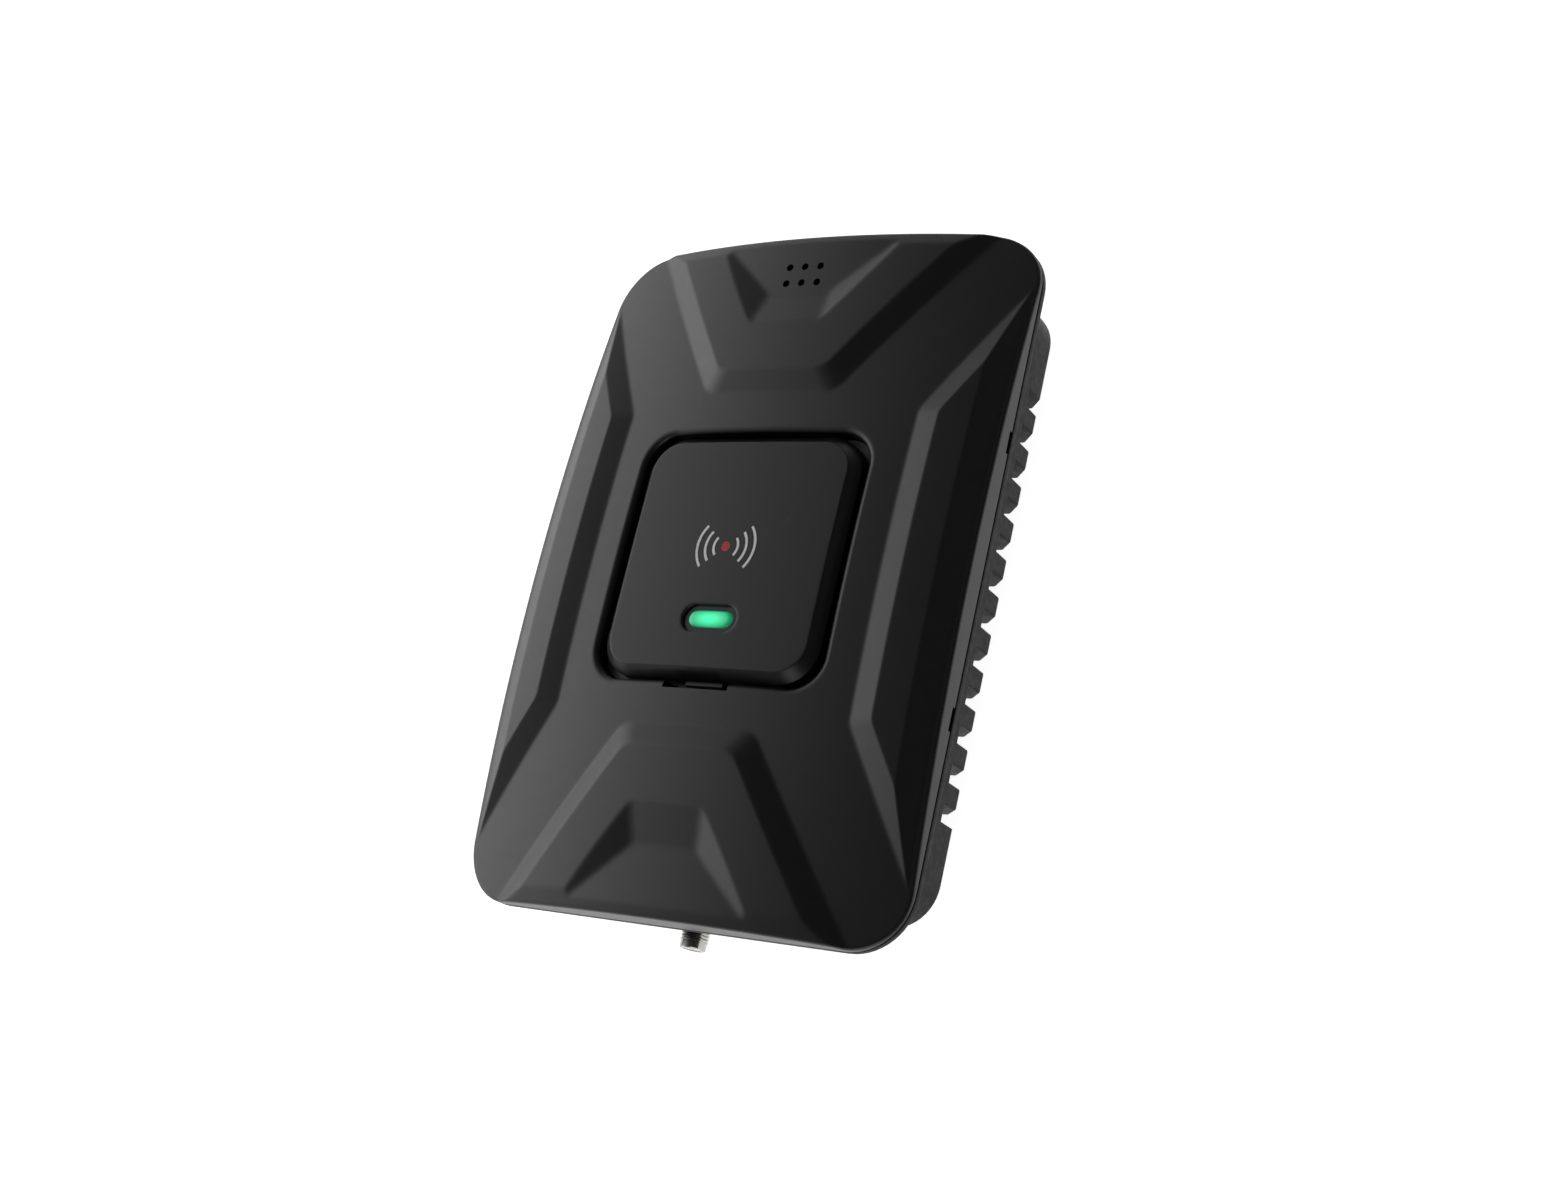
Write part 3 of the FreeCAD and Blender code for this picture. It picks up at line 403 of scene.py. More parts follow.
def piece(name, mesh, body, material):
    made = bpy.data.objects.new(name, mesh)
    bpy.context.scene.collection.objects.link(made)
    mesh.materials.clear()
    mesh.materials.append(material)
    evener = made.modifiers.new("even shading", "WEIGHTED_NORMAL")
    evener.keep_sharp = True
    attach(made, body)
    return made


def boolean(mesh, tool, operation, solver="MANIFOLD"):
    """The mesh with the tool's solids cut away or added, worked out at once."""
    base = bpy.data.objects.new("work", mesh)
    other = bpy.data.objects.new("tool", tool)
    for made in (base, other):
        bpy.context.scene.collection.objects.link(made)
    modifier = base.modifiers.new("solid", "BOOLEAN")
    modifier.operation = operation
    modifier.object = other
    modifier.solver = solver
    bpy.context.view_layer.update()
    evaluated = base.evaluated_get(bpy.context.evaluated_depsgraph_get())
    result = bpy.data.meshes.new_from_object(evaluated)
    for made in (base, other):
        bpy.data.objects.remove(made)
    return result


def shade(mesh, angle=SHARP_ANGLE):
    """Smooth shading with real edges kept sharp."""
    work = bmesh.new()
    work.from_mesh(mesh)
    bmesh.ops.recalc_face_normals(work, faces=work.faces)
    for face in work.faces:
        face.smooth = True
    for edge in work.edges:
        edge.smooth = len(edge.link_faces) == 2 and edge.calc_face_angle(0.0) < angle
    work.to_mesh(mesh)
    work.free()
    return mesh


def stepped_rod(x, y, steps, segments=32):
    """Upright round solid through pairs of radius and height, lowest first."""
    angles = np.linspace(0, 2 * math.pi, segments, endpoint=False)
    circle = np.column_stack([np.cos(angles), np.sin(angles)])
    return rings_to_mesh("rod", [at_height((x, y) + radius * circle, z) for radius, z in steps])


def rod(radius, x, y, low, high, segments=32):
    """Upright round solid for cutting or adding."""
    return stepped_rod(x, y, [(radius, low), (radius, high)], segments)


def block(x0, x1, y0, y1, z0, z1):
    plan = np.array([(x0, y0), (x1, y0), (x1, y1), (x0, y1)])
    return rings_to_mesh("block", [at_height(plan, z0), at_height(plan, z1)])


def bevelled_block(x0, x1, y0, y1, z0, z1, width):
    return bevel(block(x0, x1, y0, y1, z0, z1), width)


def bevel(mesh, width):
    """Every edge of the mesh rounded off."""
    work = bmesh.new()
    work.from_mesh(mesh)
    bmesh.ops.bevel(work, geom=work.edges[:], offset=width, segments=BEVEL_SEGMENTS, profile=0.5,
                    affect="EDGES", clamp_overlap=True)
    work.to_mesh(mesh)
    work.free()
    return mesh


def pill_plan(half_x, half_y, segments=20):
    """Plan of a slot with round ends, long along X, around the middle of the window."""
    reach = half_x - half_y
    plan = []
    for side, start in ((1, -90), (-1, 90)):
        for i in range(segments + 1):
            a = math.radians(start + 180 * i / segments)
            plan.append((side * reach + half_y * math.cos(a), WINDOW_Y + half_y * math.sin(a)))
    return np.array(plan)


def four_corners(x, y):
    return [(sx * x, sy * y) for sx in (-1, 1) for sy in (-1, 1)]


def lip_profile():
    """Inset and drop along the moat's lip, from the skin down to the upright wall."""
    slope = math.atan2(MOAT_LIP_DROP, MOAT_LIP)
    turns = [slope * i / MOAT_LIP_STEPS for i in range(1, MOAT_LIP_STEPS + 1)]
    profile = [(MOAT_LIP_ROUND * math.sin(turn), MOAT_LIP_ROUND * (1 - math.cos(turn))) for turn in turns]
    inset, drop = profile[-1]
    rest = MOAT_LIP - inset
    profile += [(inset + rest * share, drop + rest * share * math.tan(slope)) for share in MOAT_LIP_SHARES]
    profile.append((MOAT_LIP, MOAT_LIP_DROP))
    return profile


def cover_rings():
    """Rings of the cover's closed surface, from the moat's floor over the skin and round to the inside."""
    def moat(inset, z):
        corner = max(MOAT_CORNER - inset, INNER_CORNER)
        return at_height(ring(MOAT_HALF - inset, MOAT_HALF - inset, corner), z)

    def outline(inset, z):
        return at_height(ring(COVER_HALF_X - inset, COVER_HALF_Y - inset, COVER_CORNER - inset), z)

    edge = ring(MOAT_HALF, MOAT_HALF, MOAT_CORNER)
    edge_z = skin_height(edge[:, 0], edge[:, 1])
    lip = [moat(inset, edge_z - drop) for inset, drop in lip_profile()]
    middle = MID_ROUND * MOAT_FOOT
    rings = [moat(MOAT_HALF - CAP_HALF, MOAT_FLOOR), moat(MOAT_LIP + MOAT_FOOT, MOAT_FLOOR),
             moat(MOAT_LIP + middle, MOAT_FLOOR + middle), moat(MOAT_LIP, MOAT_FLOOR + MOAT_FOOT)]
    rings += lip[::-1]
    rim = ring(COVER_HALF_X - RIM_ROUND, COVER_HALF_Y - RIM_ROUND, COVER_CORNER - RIM_ROUND)
    for share in np.linspace(0, 1, SKIN_RINGS):
        plan = edge + (rim - edge) * share
        rings.append(at_height(plan, skin_height(plan[:, 0], plan[:, 1])))
    for turn in (30, 60, 90):
        reach = RIM_ROUND * (1 - math.sin(math.radians(turn)))
        drop = RIM_ROUND * (1 - math.cos(math.radians(turn)))
        plan = ring(COVER_HALF_X - reach, COVER_HALF_Y - reach, COVER_CORNER - reach)
        rings.append(at_height(plan, skin_height(plan[:, 0], plan[:, 1]) - drop))
    rings += [outline(0, COVER_BASE), outline(COVER_WALL, COVER_BASE)]
    tub_half = MOAT_HALF + MOAT_WALL
    inner = ring(COVER_HALF_X - COVER_WALL, COVER_HALF_Y - COVER_WALL, COVER_CORNER - COVER_WALL)
    tub = ring(tub_half, tub_half, MOAT_CORNER)
    for share in np.linspace(0, 1, ROOF_RINGS):
        plan = inner + (tub - inner) * share
        roof = SEAM + dome_height(plan[:, 0], plan[:, 1]) - COVER_WALL
        rings.append(at_height(plan, np.maximum(roof, COVER_BASE + ROOF_GAP + ROOF_RISE * share)))
    rings.append(at_height(tub, MOAT_FLOOR - COVER_WALL))
    rings.append(at_height(ring(CAP_HALF, CAP_HALF, INNER_CORNER), MOAT_FLOOR - COVER_WALL))
    return rings


def cover_cutters():
    """Vents, peg and screw holes, the light guide's slot, the pry notch and the clip windows."""
    tools = [rod(VENT_RADIUS, column * VENT_PITCH, VENT_Y + row * VENT_PITCH, COVER_BASE, COVER_HIGH.z + OVER)
             for column in (-1, 0, 1) for row in (-0.5, 0.5)]
    tools += [rod(PEG_RADIUS + PEG_GAP, x, y, COVER_BASE, MOAT_FLOOR + OVER)
              for x, y in four_corners(PEG_PLACE, PEG_PLACE)]
    tools += [rod(COVER_SCREW_RADIUS, x, y, COVER_BASE - 3 * OVER, COVER_BASE + SCREW_HOLE_DEPTH)
              for x, y in four_corners(*COVER_SCREW_PLACE)]
    guide = pill_plan(LENS_HALF_X - GUIDE_INSET, LENS_HALF_Y)
    tools.append(rings_to_mesh("guide", [at_height(guide, COVER_BASE), at_height(guide, MOAT_FLOOR + OVER)]))
    notch_outer = -MOAT_HALF - NOTCH_DEPTH
    notch_inner = OVER - MOAT_HALF + MOAT_LIP
    tools.append(bevelled_block(-NOTCH_HALF, NOTCH_HALF, notch_outer, notch_inner,
                                MOAT_FLOOR, NOTCH_TOP, NOTCH_ROUND))
    for x, y in four_corners(COVER_HALF_X, CLIP_Y):
        inner = x - math.copysign(CLIP_DEPTH, x)
        outer = x + math.copysign(OVER, x)
        tools.append(block(min(inner, outer), max(inner, outer), y - CLIP_HALF, y + CLIP_HALF,
                           COVER_BASE - OVER, COVER_BASE + CLIP_HEIGHT))
    return joined("cutters", tools)


def cover_mesh():
    mesh = rings_to_mesh("cover", cover_rings())
    bosses = joined("bosses", [rod(BOSS_RADIUS, x, y, FLANGE_TOP, COVER_BASE + BOSS_HEIGHT)
                               for x, y in four_corners(*COVER_SCREW_PLACE)])
    mesh = boolean(mesh, bosses, "UNION")
    return shade(boolean(mesh, cover_cutters(), "DIFFERENCE"))


def pill_at(angles, half_x, half_y):
    """Points of a slot's outline around the middle of the window, in the given directions from there."""
    reach = half_x - half_y
    run, rise = np.abs(np.cos(angles)), np.abs(np.sin(angles))
    to_side = half_y / np.maximum(rise, TINY)
    inside = run * reach
    to_end = inside + np.sqrt(np.maximum(inside ** 2 - reach ** 2 + half_y ** 2, 0))
    distance = np.where(to_side * run <= reach, to_side, to_end)
    return np.column_stack([distance * np.cos(angles), WINDOW_Y + distance * np.sin(angles)])


def plate_crown(plan, drop=0.0):
    """Heights of the plate's softly crowned top."""
    across, along = plan[:, 0] ** 2, plan[:, 1] ** 2
    return PLATE_TOP - across / (2 * PLATE_CROWN_RADIUS) - along / (4 * PLATE_CROWN_RADIUS) - drop


def plate_rings():
    """Rings of the plate's closed surface: up through the window, over the top, down the sides and back."""
    half_x, half_y = PLATE_HIGH.x - PLATE_FLARE, PLATE_HIGH.y - PLATE_FLARE
    skirt_z = MOAT_FLOOR + SKIRT_GAP
    under_z = PLATE_TOP - PLATE_WALL

    def outline(grow):
        return ring(half_x + grow, half_y + grow, PLATE_CORNER + grow, PLATE_POINTS)

    lean = math.atan2(PLATE_FLARE_DROP, PLATE_FLARE)
    trim = PLATE_EDGE_ROUND * math.tan(lean / 2)
    edge = outline(-trim)
    angles = np.arctan2(edge[:, 1] - WINDOW_Y, edge[:, 0])
    throat = pill_at(angles, LENS_HALF_X, LENS_HALF_Y)

    def window(grow):
        return pill_at(angles, WINDOW_HALF[0] + grow, WINDOW_HALF[1] + grow)

    rings = [at_height(throat, LENS_LOW.z), at_height(throat, PLATE_TOP - WINDOW_DEPTH),
             at_height(window(0), PLATE_TOP - WINDOW_DEPTH)]
    for turn in np.linspace(0, math.pi / 2, BEZEL_RINGS):
        plan = window(BEZEL * (1 - math.cos(turn)))
        rings.append(at_height(plan, plate_crown(plan, BEZEL * (1 - math.sin(turn)))))
    rim = window(BEZEL)
    for share in np.linspace(0, 1, PLATE_RINGS)[1:]:
        plan = rim + (edge - rim) * share
        rings.append(at_height(plan, plate_crown(plan)))
    for turn in np.linspace(0, lean, PLATE_EDGE_RINGS)[1:]:
        plan = outline(PLATE_EDGE_ROUND * math.sin(turn) - trim)
        rings.append(at_height(plan, plate_crown(plan, PLATE_EDGE_ROUND * (1 - math.cos(turn)))))
    inside = outline(PLATE_FLARE - SKIRT_WALL)
    collar = window(COLLAR)
    rings += [at_height(outline(PLATE_FLARE), PLATE_TOP - PLATE_FLARE_DROP),
              at_height(outline(PLATE_FLARE), skirt_z), at_height(inside, skirt_z),
              at_height(inside, under_z), at_height(collar, under_z), at_height(collar, LENS_LOW.z)]
    return rings


def plate_mesh():
    """Square plate with a lit window, a rounded top edge, flared sides, a hollow back, pegs and a pry tab."""
    plate = rings_to_mesh("plate", plate_rings(), closed=True)
    peg_top = PLATE_TOP - PLATE_WALL + PEG_ROOT
    adds = [rod(PEG_RADIUS, x, y, PLATE_LOW.z, peg_top) for x, y in four_corners(PEG_PLACE, PEG_PLACE)]
    low_y = -PLATE_HIGH.y
    tab_z = MOAT_FLOOR + SKIRT_GAP + TAB_LIFT
    adds.append(bevelled_block(-TAB_HALF, TAB_HALF, low_y - TAB_REACH, low_y + OVER,
                               tab_z, tab_z + TAB_THICKNESS, TAB_ROUND))
    return shade(boolean(plate, joined("adds", adds), "UNION", "EXACT"))


def lens_mesh():
    """Status lens with a softly domed top."""
    levels = [(0, LENS_LOW.z)] + [(inset * MM, LENS_HIGH.z - drop * MM) for inset, drop in LENS_DOME]
    rings = [at_height(pill_plan(LENS_HALF_X - inset, LENS_HALF_Y - inset), z) for inset, z in levels]
    return shade(rings_to_mesh("lens", rings), LENS_SHARP_ANGLE)


def sink_outline(inset, z):
    """Ring of the body's outline, drawn in by `inset`."""
    corner = max(SINK_CORNER - inset, MM)
    return at_height(ring(SINK_HALF_X - inset, SINK_HALF_Y - inset, corner, SINK_POINTS), z)


def sink_body():
    """Rounded slab with soft lower and upper edges."""
    turns = [math.radians(turn) for turn in (0, 30, 60, 90)]
    edge = [(BODY_ROUND * (1 - math.sin(turn)), BODY_ROUND * (1 - math.cos(turn))) for turn in turns]
    rings = [sink_outline(inset, BODY_LOW + rise) for inset, rise in edge]
    rings += [sink_outline(inset, BODY_TOP - drop) for inset, drop in edge[::-1]]
    return rings_to_mesh("body", rings)


def sink_fin(y):
    """One fin across the back, with chamfered ends and soft edges."""
    cut_x, cut_z = EDGE_CHAMFER
    section = np.array([(-SINK_HALF_X, FIN_TOP), (-SINK_HALF_X, cut_z), (cut_x - SINK_HALF_X, 0.0),
                        (SINK_HALF_X - cut_x, 0.0), (SINK_HALF_X, cut_z), (SINK_HALF_X, FIN_TOP)])
    half = FIN_THICKNESS / 2
    ends = [np.column_stack([section[:, 0], np.full(len(section), y + side * half), section[:, 1]])
            for side in (-1, 1)]
    return bevel(rings_to_mesh("fin", ends), FIN_ROUND)


def sink_mesh():
    """Hollow finned body with end blocks, a flange under the cover, and its screw and port holes."""
    fins = [sink_fin((i - (FIN_COUNT - 1) / 2) * FIN_PITCH) for i in range(FIN_COUNT)]
    mesh = sink_body()
    for tool in (end_blocks(), joined("fins", fins), flange_slab()):
        mesh = boolean(mesh, tool, "UNION")
    for tool in (sink_tray(), sink_bays(), sink_cutters()):
        mesh = boolean(mesh, tool, "DIFFERENCE")
    return shade(mesh)


def board_screw_places():
    x, y = BOARD_SCREW_PLACE
    return four_corners(x, y) + [(-x, 0), (x, 0)]


def sink_tray():
    """Space inside the body, less the columns of the cover screws and the stands of the board."""
    tray = rings_to_mesh("tray", [sink_outline(SINK_WALL, z) for z in (SINK_FLOOR, FLANGE_TOP + OVER)])
    posts = [rod(SCREW_COLUMN_RADIUS, x, y, SINK_FLOOR - OVER, FLANGE_TOP)
             for x, y in four_corners(*COVER_SCREW_PLACE)]
    posts += [rod(STAND_RADIUS, x, y, SINK_FLOOR - OVER, BOARD_UNDERSIDE) for x, y in board_screw_places()]
    return boolean(tray, joined("posts", posts), "DIFFERENCE")


def sink_bays():
    """Deeper bays for the ports' blocks and the jack, at both ends of the tray."""
    outer = SINK_HALF_Y - SINK_WALL - END_BAY_GAP
    return joined("bays", [block(-END_BAY_HALF_X, END_BAY_HALF_X, low, high, END_BAY_FLOOR, SINK_FLOOR + OVER)
                           for low, high in ((END_BAY_INNER_Y, outer), (-outer, -END_BAY_INNER_Y))])


def flange_slab():
    """Flange under the cover, with soft edges."""
    low = FLANGE_TOP - FLANGE_THICKNESS
    edge = [(FLANGE_ROUND, 0), (MID_ROUND * FLANGE_ROUND, MID_ROUND * FLANGE_ROUND), (0, FLANGE_ROUND)]

    def outline(inset, z):
        plan = ring(COVER_HALF_X - inset, COVER_HALF_Y - inset, COVER_CORNER - inset, FLANGE_POINTS)
        return at_height(plan, z)

    rings = [outline(inset, low + rise) for inset, rise in edge]
    rings += [outline(inset, FLANGE_TOP - drop) for inset, drop in edge[::-1]]
    return rings_to_mesh("flange", rings)


def end_blocks():
    """Blocks at both ends, chamfered along the back edge: what a slab keeps beyond the outermost fins."""
    cut_x, cut_z = EDGE_CHAMFER
    levels = [(cut_x + FIN_ROUND, 0), (cut_x + MID_ROUND * FIN_ROUND, END_BACK_RISE * FIN_ROUND)]
    levels += [(width * cut_x, height * cut_z) for width, height in END_CHAMFER]
    levels.append((0, FIN_TOP))
    slab = rings_to_mesh("back", [sink_outline(inset, z) for inset, z in levels])
    inner = (FIN_COUNT + 1) / 2 * FIN_PITCH - FIN_THICKNESS / 2
    middle = bevelled_block(-SINK_HALF_X - OVER, SINK_HALF_X + OVER, -inner, inner,
                            -OVER, FIN_TOP + OVER, END_BLOCK_ROUND)
    return boolean(slab, middle, "DIFFERENCE")


def sink_cutters():
    """Counterbores and holes for the cover screws, bracket holes, and openings for the ports and the jack."""
    washer_low, washer_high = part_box("outside_port_washer")
    port_z = (washer_low.z + washer_high.z) / 2
    jack_low, jack_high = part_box("power_jack_housing")
    hole_radius = COVER_SCREW_RADIUS + SCREW_CLEARANCE
    steps = [(COUNTERBORE_RADIUS, -OVER), (COUNTERBORE_RADIUS, COUNTERBORE_DEPTH),
             (hole_radius, COUNTERBORE_DEPTH), (hole_radius, FLANGE_TOP + OVER)]
    tools = [stepped_rod(x, y, steps, 40) for x, y in four_corners(*COVER_SCREW_PLACE)]
    tools += [rod(BRACKET_HOLE_RADIUS, x, y, -OVER, BRACKET_HOLE_DEPTH)
              for x, y in four_corners(*BRACKET_HOLE_PLACE)]
    tools += [rod(BOARD_SCREW_RADIUS, x, y, BOARD_SCREW_TIP, BOARD_UNDERSIDE + OVER)
              for x, y in board_screw_places()]
    for side in (-1, 1):
        hole = rod(PORT_HOLE_RADIUS, 0, 0, SINK_HALF_Y - SINK_WALL - OVER, SINK_HALF_Y + OVER)
        hole.transform(Matrix.Rotation(-side * math.pi / 2, 4, "X"))
        hole.transform(Matrix.Translation((0, 0, port_z)))
        outward(hole)
        tools.append(hole)
    tools.append(block(jack_low.x, jack_high.x, -SINK_HALF_Y - OVER, jack_low.y + SINK_WALL + OVER,
                       jack_low.z, jack_high.z))
    return joined("sink cutters", tools)


class Paint:
    """A node material being built around one Principled shader."""

    def __init__(self, name, **constants):
        self.material = bpy.data.materials.new(name)
        self.material.use_nodes = True
        self.tree = self.material.node_tree
        self.shader = self.tree.nodes["Principled BSDF"]
        for socket, value in constants.items():
            self.shader.inputs[socket.replace("_", " ")].default_value = value
        self.place = self.add("ShaderNodeTexCoord").outputs["Object"]

    def add(self, kind, **settings):
        node = self.tree.nodes.new(kind)
        for name, value in settings.items():
            setattr(node, name, value)
        return node

    def link(self, source, target):
        self.tree.links.new(source, target)

    def noise(self, size, detail, stretch=(1, 1, 1)):
        """Noise whose features are about `size` across."""
        mapping = self.add("ShaderNodeMapping")
        mapping.inputs["Scale"].default_value = stretch
        self.link(self.place, mapping.inputs["Vector"])
        node = self.add("ShaderNodeTexNoise")
        node.inputs["Scale"].default_value = 1 / size
        node.inputs["Detail"].default_value = detail
        node.inputs["Roughness"].default_value = NOISE_ROUGHNESS
        self.link(mapping.outputs["Vector"], node.inputs["Vector"])
        return node.outputs["Fac"]

    def grain(self, size):
        node = self.add("ShaderNodeTexVoronoi")
        node.inputs["Scale"].default_value = 1 / size
        self.link(self.place, node.inputs["Vector"])
        return node.outputs["Distance"]

    def spread(self, value, low, high, start=NOISE_LOW, end=NOISE_HIGH):
        """Stretch a factor to the range low to high."""
        node = self.add("ShaderNodeMapRange")
        for name, number in (("From Min", start), ("From Max", end), ("To Min", low), ("To Max", high)):
            node.inputs[name].default_value = number
        self.link(value, node.inputs["Value"])
        return node.outputs["Result"]

    def roughness(self, value, low, high):
        self.link(self.spread(value, low, high), self.shader.inputs["Roughness"])

    def colours(self, value, dark, light):
        ramp = self.add("ShaderNodeValToRGB")
        ramp.color_ramp.elements[0].color = (*dark, 1)
        ramp.color_ramp.elements[1].color = (*light, 1)
        ramp.color_ramp.elements[0].position = NOISE_LOW
        ramp.color_ramp.elements[1].position = NOISE_HIGH
        self.link(value, ramp.inputs["Fac"])
        return ramp.outputs["Color"]

    def base(self, colour):
        self.link(colour, self.shader.inputs["Base Color"])

    def bump(self, value, depth, strength, before=None):
        node = self.add("ShaderNodeBump")
        node.inputs["Distance"].default_value = depth
        node.inputs["Strength"].default_value = strength
        self.link(value, node.inputs["Height"])
        if before is not None:
            self.link(before, node.inputs["Normal"])
        self.link(node.outputs["Normal"], self.shader.inputs["Normal"])
        return node.outputs["Normal"]

    def worn_edges(self, colour, worn, strength):
        """Convex edges a little lighter, as handling leaves them."""
        geometry = self.add("ShaderNodeNewGeometry")
        edge = self.spread(geometry.outputs["Pointiness"], 0.0, strength, WEAR_START, WEAR_FULL)
        mix = self.add("ShaderNodeMix", data_type="RGBA")
        self.link(edge, mix.inputs["Factor"])
        self.link(colour, mix.inputs["A"])
        mix.inputs["B"].default_value = (*worn, 1)
        return mix.outputs["Result"]


def moulded_plastic(name, rough, edge_light, grain_size, grain_depth, shine):
    """Injection-moulded black plastic with a spark-eroded grain."""
    paint = Paint(name, Specular_IOR_Level=shine)
    cloud = paint.noise(28 * MM, detail=4)
    colour = paint.colours(cloud, PLASTIC_DARK, PLASTIC_LIGHT)
    paint.base(paint.worn_edges(colour, edge_light, 0.55))
    paint.roughness(paint.noise(2.5 * MM, detail=5), rough - 0.015, rough + 0.02)
    fine = paint.bump(paint.grain(grain_size), depth=grain_depth, strength=0.5)
    paint.bump(paint.noise(0.12 * MM, detail=2), depth=0.5 * grain_depth, strength=0.4, before=fine)
    return paint.material


def cast_metal(name):
    """Die-cast metal under a black powder coat."""
    paint = Paint(name, Specular_IOR_Level=0.18)
    colour = paint.colours(paint.noise(9 * MM, detail=5), (0.006, 0.006, 0.0065), (0.010, 0.010, 0.011))
    paint.base(paint.worn_edges(colour, (0.05, 0.05, 0.052), 0.6))
    paint.roughness(paint.noise(1.6 * MM, detail=6), 0.42, 0.58)
    skin = paint.bump(paint.noise(0.45 * MM, detail=4), depth=0.03 * MM, strength=0.55)
    paint.bump(paint.noise(2.2 * MM, detail=3), depth=0.05 * MM, strength=0.35, before=skin)
    return paint.material


def plated_metal(name, dark, light, rough, turned=False):
    """Plated metal; a turned part carries fine rings round its length."""
    paint = Paint(name, Metallic=1.0)
    paint.base(paint.colours(paint.noise(2 * MM, detail=4), dark, light))
    stretch = (1, 14, 1) if turned else (1, 1, 1)
    paint.roughness(paint.noise(0.5 * MM, detail=4, stretch=stretch), rough - 0.05, rough + 0.08)
    paint.bump(paint.noise(0.3 * MM, detail=3, stretch=stretch), depth=0.004 * MM, strength=0.4)
    return paint.material


def brushed_steel(name):
    paint = Paint(name, Metallic=1.0)
    paint.base(paint.colours(paint.noise(1.5 * MM, detail=4), (0.25, 0.25, 0.26), (0.42, 0.42, 0.44)))
    paint.roughness(paint.noise(0.4 * MM, detail=5), 0.28, 0.45)
    paint.bump(paint.noise(0.15 * MM, detail=3, stretch=(1, 1, 4)), depth=0.004 * MM, strength=0.5)
    return paint.material


def solid_plastic(name, dark, light, rough, **constants):
    """Smooth plastic, rubber or ceramic; further constants go straight to the shader."""
    paint = Paint(name, **constants)
    paint.base(paint.colours(paint.noise(3 * MM, detail=4), dark, light))
    paint.roughness(paint.noise(0.8 * MM, detail=4), rough - 0.04, rough + 0.05)
    paint.bump(paint.noise(0.25 * MM, detail=3), depth=0.004 * MM, strength=0.5)
    return paint.material


def glowing_lens(name):
    """Translucent green window lit from behind, brightest over the lamp."""
    paint = Paint(name, Roughness=0.22, Coat_Weight=0.4, Coat_Roughness=0.08)
    centre = Vector((0, WINDOW_Y, LENS_HIGH.z))
    shift = paint.add("ShaderNodeVectorMath", operation="SUBTRACT")
    shift.inputs[1].default_value = centre
    paint.link(paint.place, shift.inputs[0])
    squeeze = paint.add("ShaderNodeVectorMath", operation="MULTIPLY")
    squeeze.inputs[1].default_value = (1 / GLOW_REACH[0], 1 / GLOW_REACH[1], 0)
    paint.link(shift.outputs["Vector"], squeeze.inputs[0])
    far = paint.add("ShaderNodeVectorMath", operation="LENGTH")
    paint.link(squeeze.outputs["Vector"], far.inputs[0])
    ramp = paint.add("ShaderNodeValToRGB")
    ramp.color_ramp.elements[0].position = 0.15
    ramp.color_ramp.elements[0].color = (0.03, 0.80, 0.36, 1)
    ramp.color_ramp.elements[1].position = 1.0
    ramp.color_ramp.elements[1].color = (0.0, 0.13, 0.045, 1)
    paint.link(far.outputs["Value"], ramp.inputs["Fac"])
    paint.base(ramp.outputs["Color"])
    paint.link(ramp.outputs["Color"], paint.shader.inputs["Emission Color"])
    paint.shader.inputs["Emission Strength"].default_value = 1.0
    paint.bump(paint.noise(0.8 * MM, detail=2), depth=0.02 * MM, strength=0.35)
    return paint.material


def circuit_board(name):
    """Solder mask over faint copper tracks."""
    paint = Paint(name, Coat_Weight=0.3)
    track = paint.add("ShaderNodeTexBrick", offset=0.37)
    for socket, value in (("Scale", 1 / (7 * MM)), ("Mortar Size", 0.06), ("Mortar Smooth", 0.2),
                          ("Row Height", 0.4), ("Brick Width", 1.3)):
        track.inputs[socket].default_value = value
    track.inputs["Color1"].default_value = (0.012, 0.12, 0.05, 1)
    track.inputs["Color2"].default_value = (0.014, 0.14, 0.06, 1)
    track.inputs["Mortar"].default_value = (0.035, 0.26, 0.11, 1)
    paint.link(paint.place, track.inputs["Vector"])
    paint.base(track.outputs["Color"])
    paint.roughness(paint.noise(1.5 * MM, detail=4), 0.28, 0.42)
    paint.bump(track.outputs["Fac"], depth=0.03 * MM, strength=0.6)
    return paint.material


def printed_ink(name, dark, light):
    paint = Paint(name, Specular_IOR_Level=0.35)
    paint.base(paint.colours(paint.noise(0.6 * MM, detail=4), dark, light))
    paint.roughness(paint.noise(0.3 * MM, detail=3), 0.45, 0.6)
    paint.bump(paint.noise(0.2 * MM, detail=3), depth=0.006 * MM, strength=0.4)
    return paint.material


def studio_floor():
    """Pale seamless table, upturned far away, that glows so that shadows on it stay light."""
    mesh = bpy.data.meshes.new("floor")
    levels = [(FLOOR_HALF, 0.0), (FLOOR_HALF + FLOOR_RISE, FLOOR_RISE)]
    corners = [(sx * half, sy * half, z) for half, z in levels
               for sx, sy in ((-1, -1), (1, -1), (1, 1), (-1, 1))]
    upturned = [(i, 4 + i, 4 + (i + 1) % 4, (i + 1) % 4) for i in range(4)]
    mesh.from_pydata(corners, [], [(0, 1, 2, 3)] + upturned)
    floor = bpy.data.objects.new("floor", mesh)
    bpy.context.scene.collection.objects.link(floor)
    floor.location.z = -FLOOR_GAP
    paint = Paint("pale floor", Emission_Color=(1, 1, 1, 1), Emission_Strength=FLOOR_GLOW,
                  Specular_IOR_Level=0.0)
    paint.base(paint.colours(paint.noise(0.3, detail=4), (0.90, 0.90, 0.90), (0.92, 0.92, 0.92)))
    paint.roughness(paint.noise(0.05, detail=4), 0.8, 0.9)
    mesh.materials.append(paint.material)


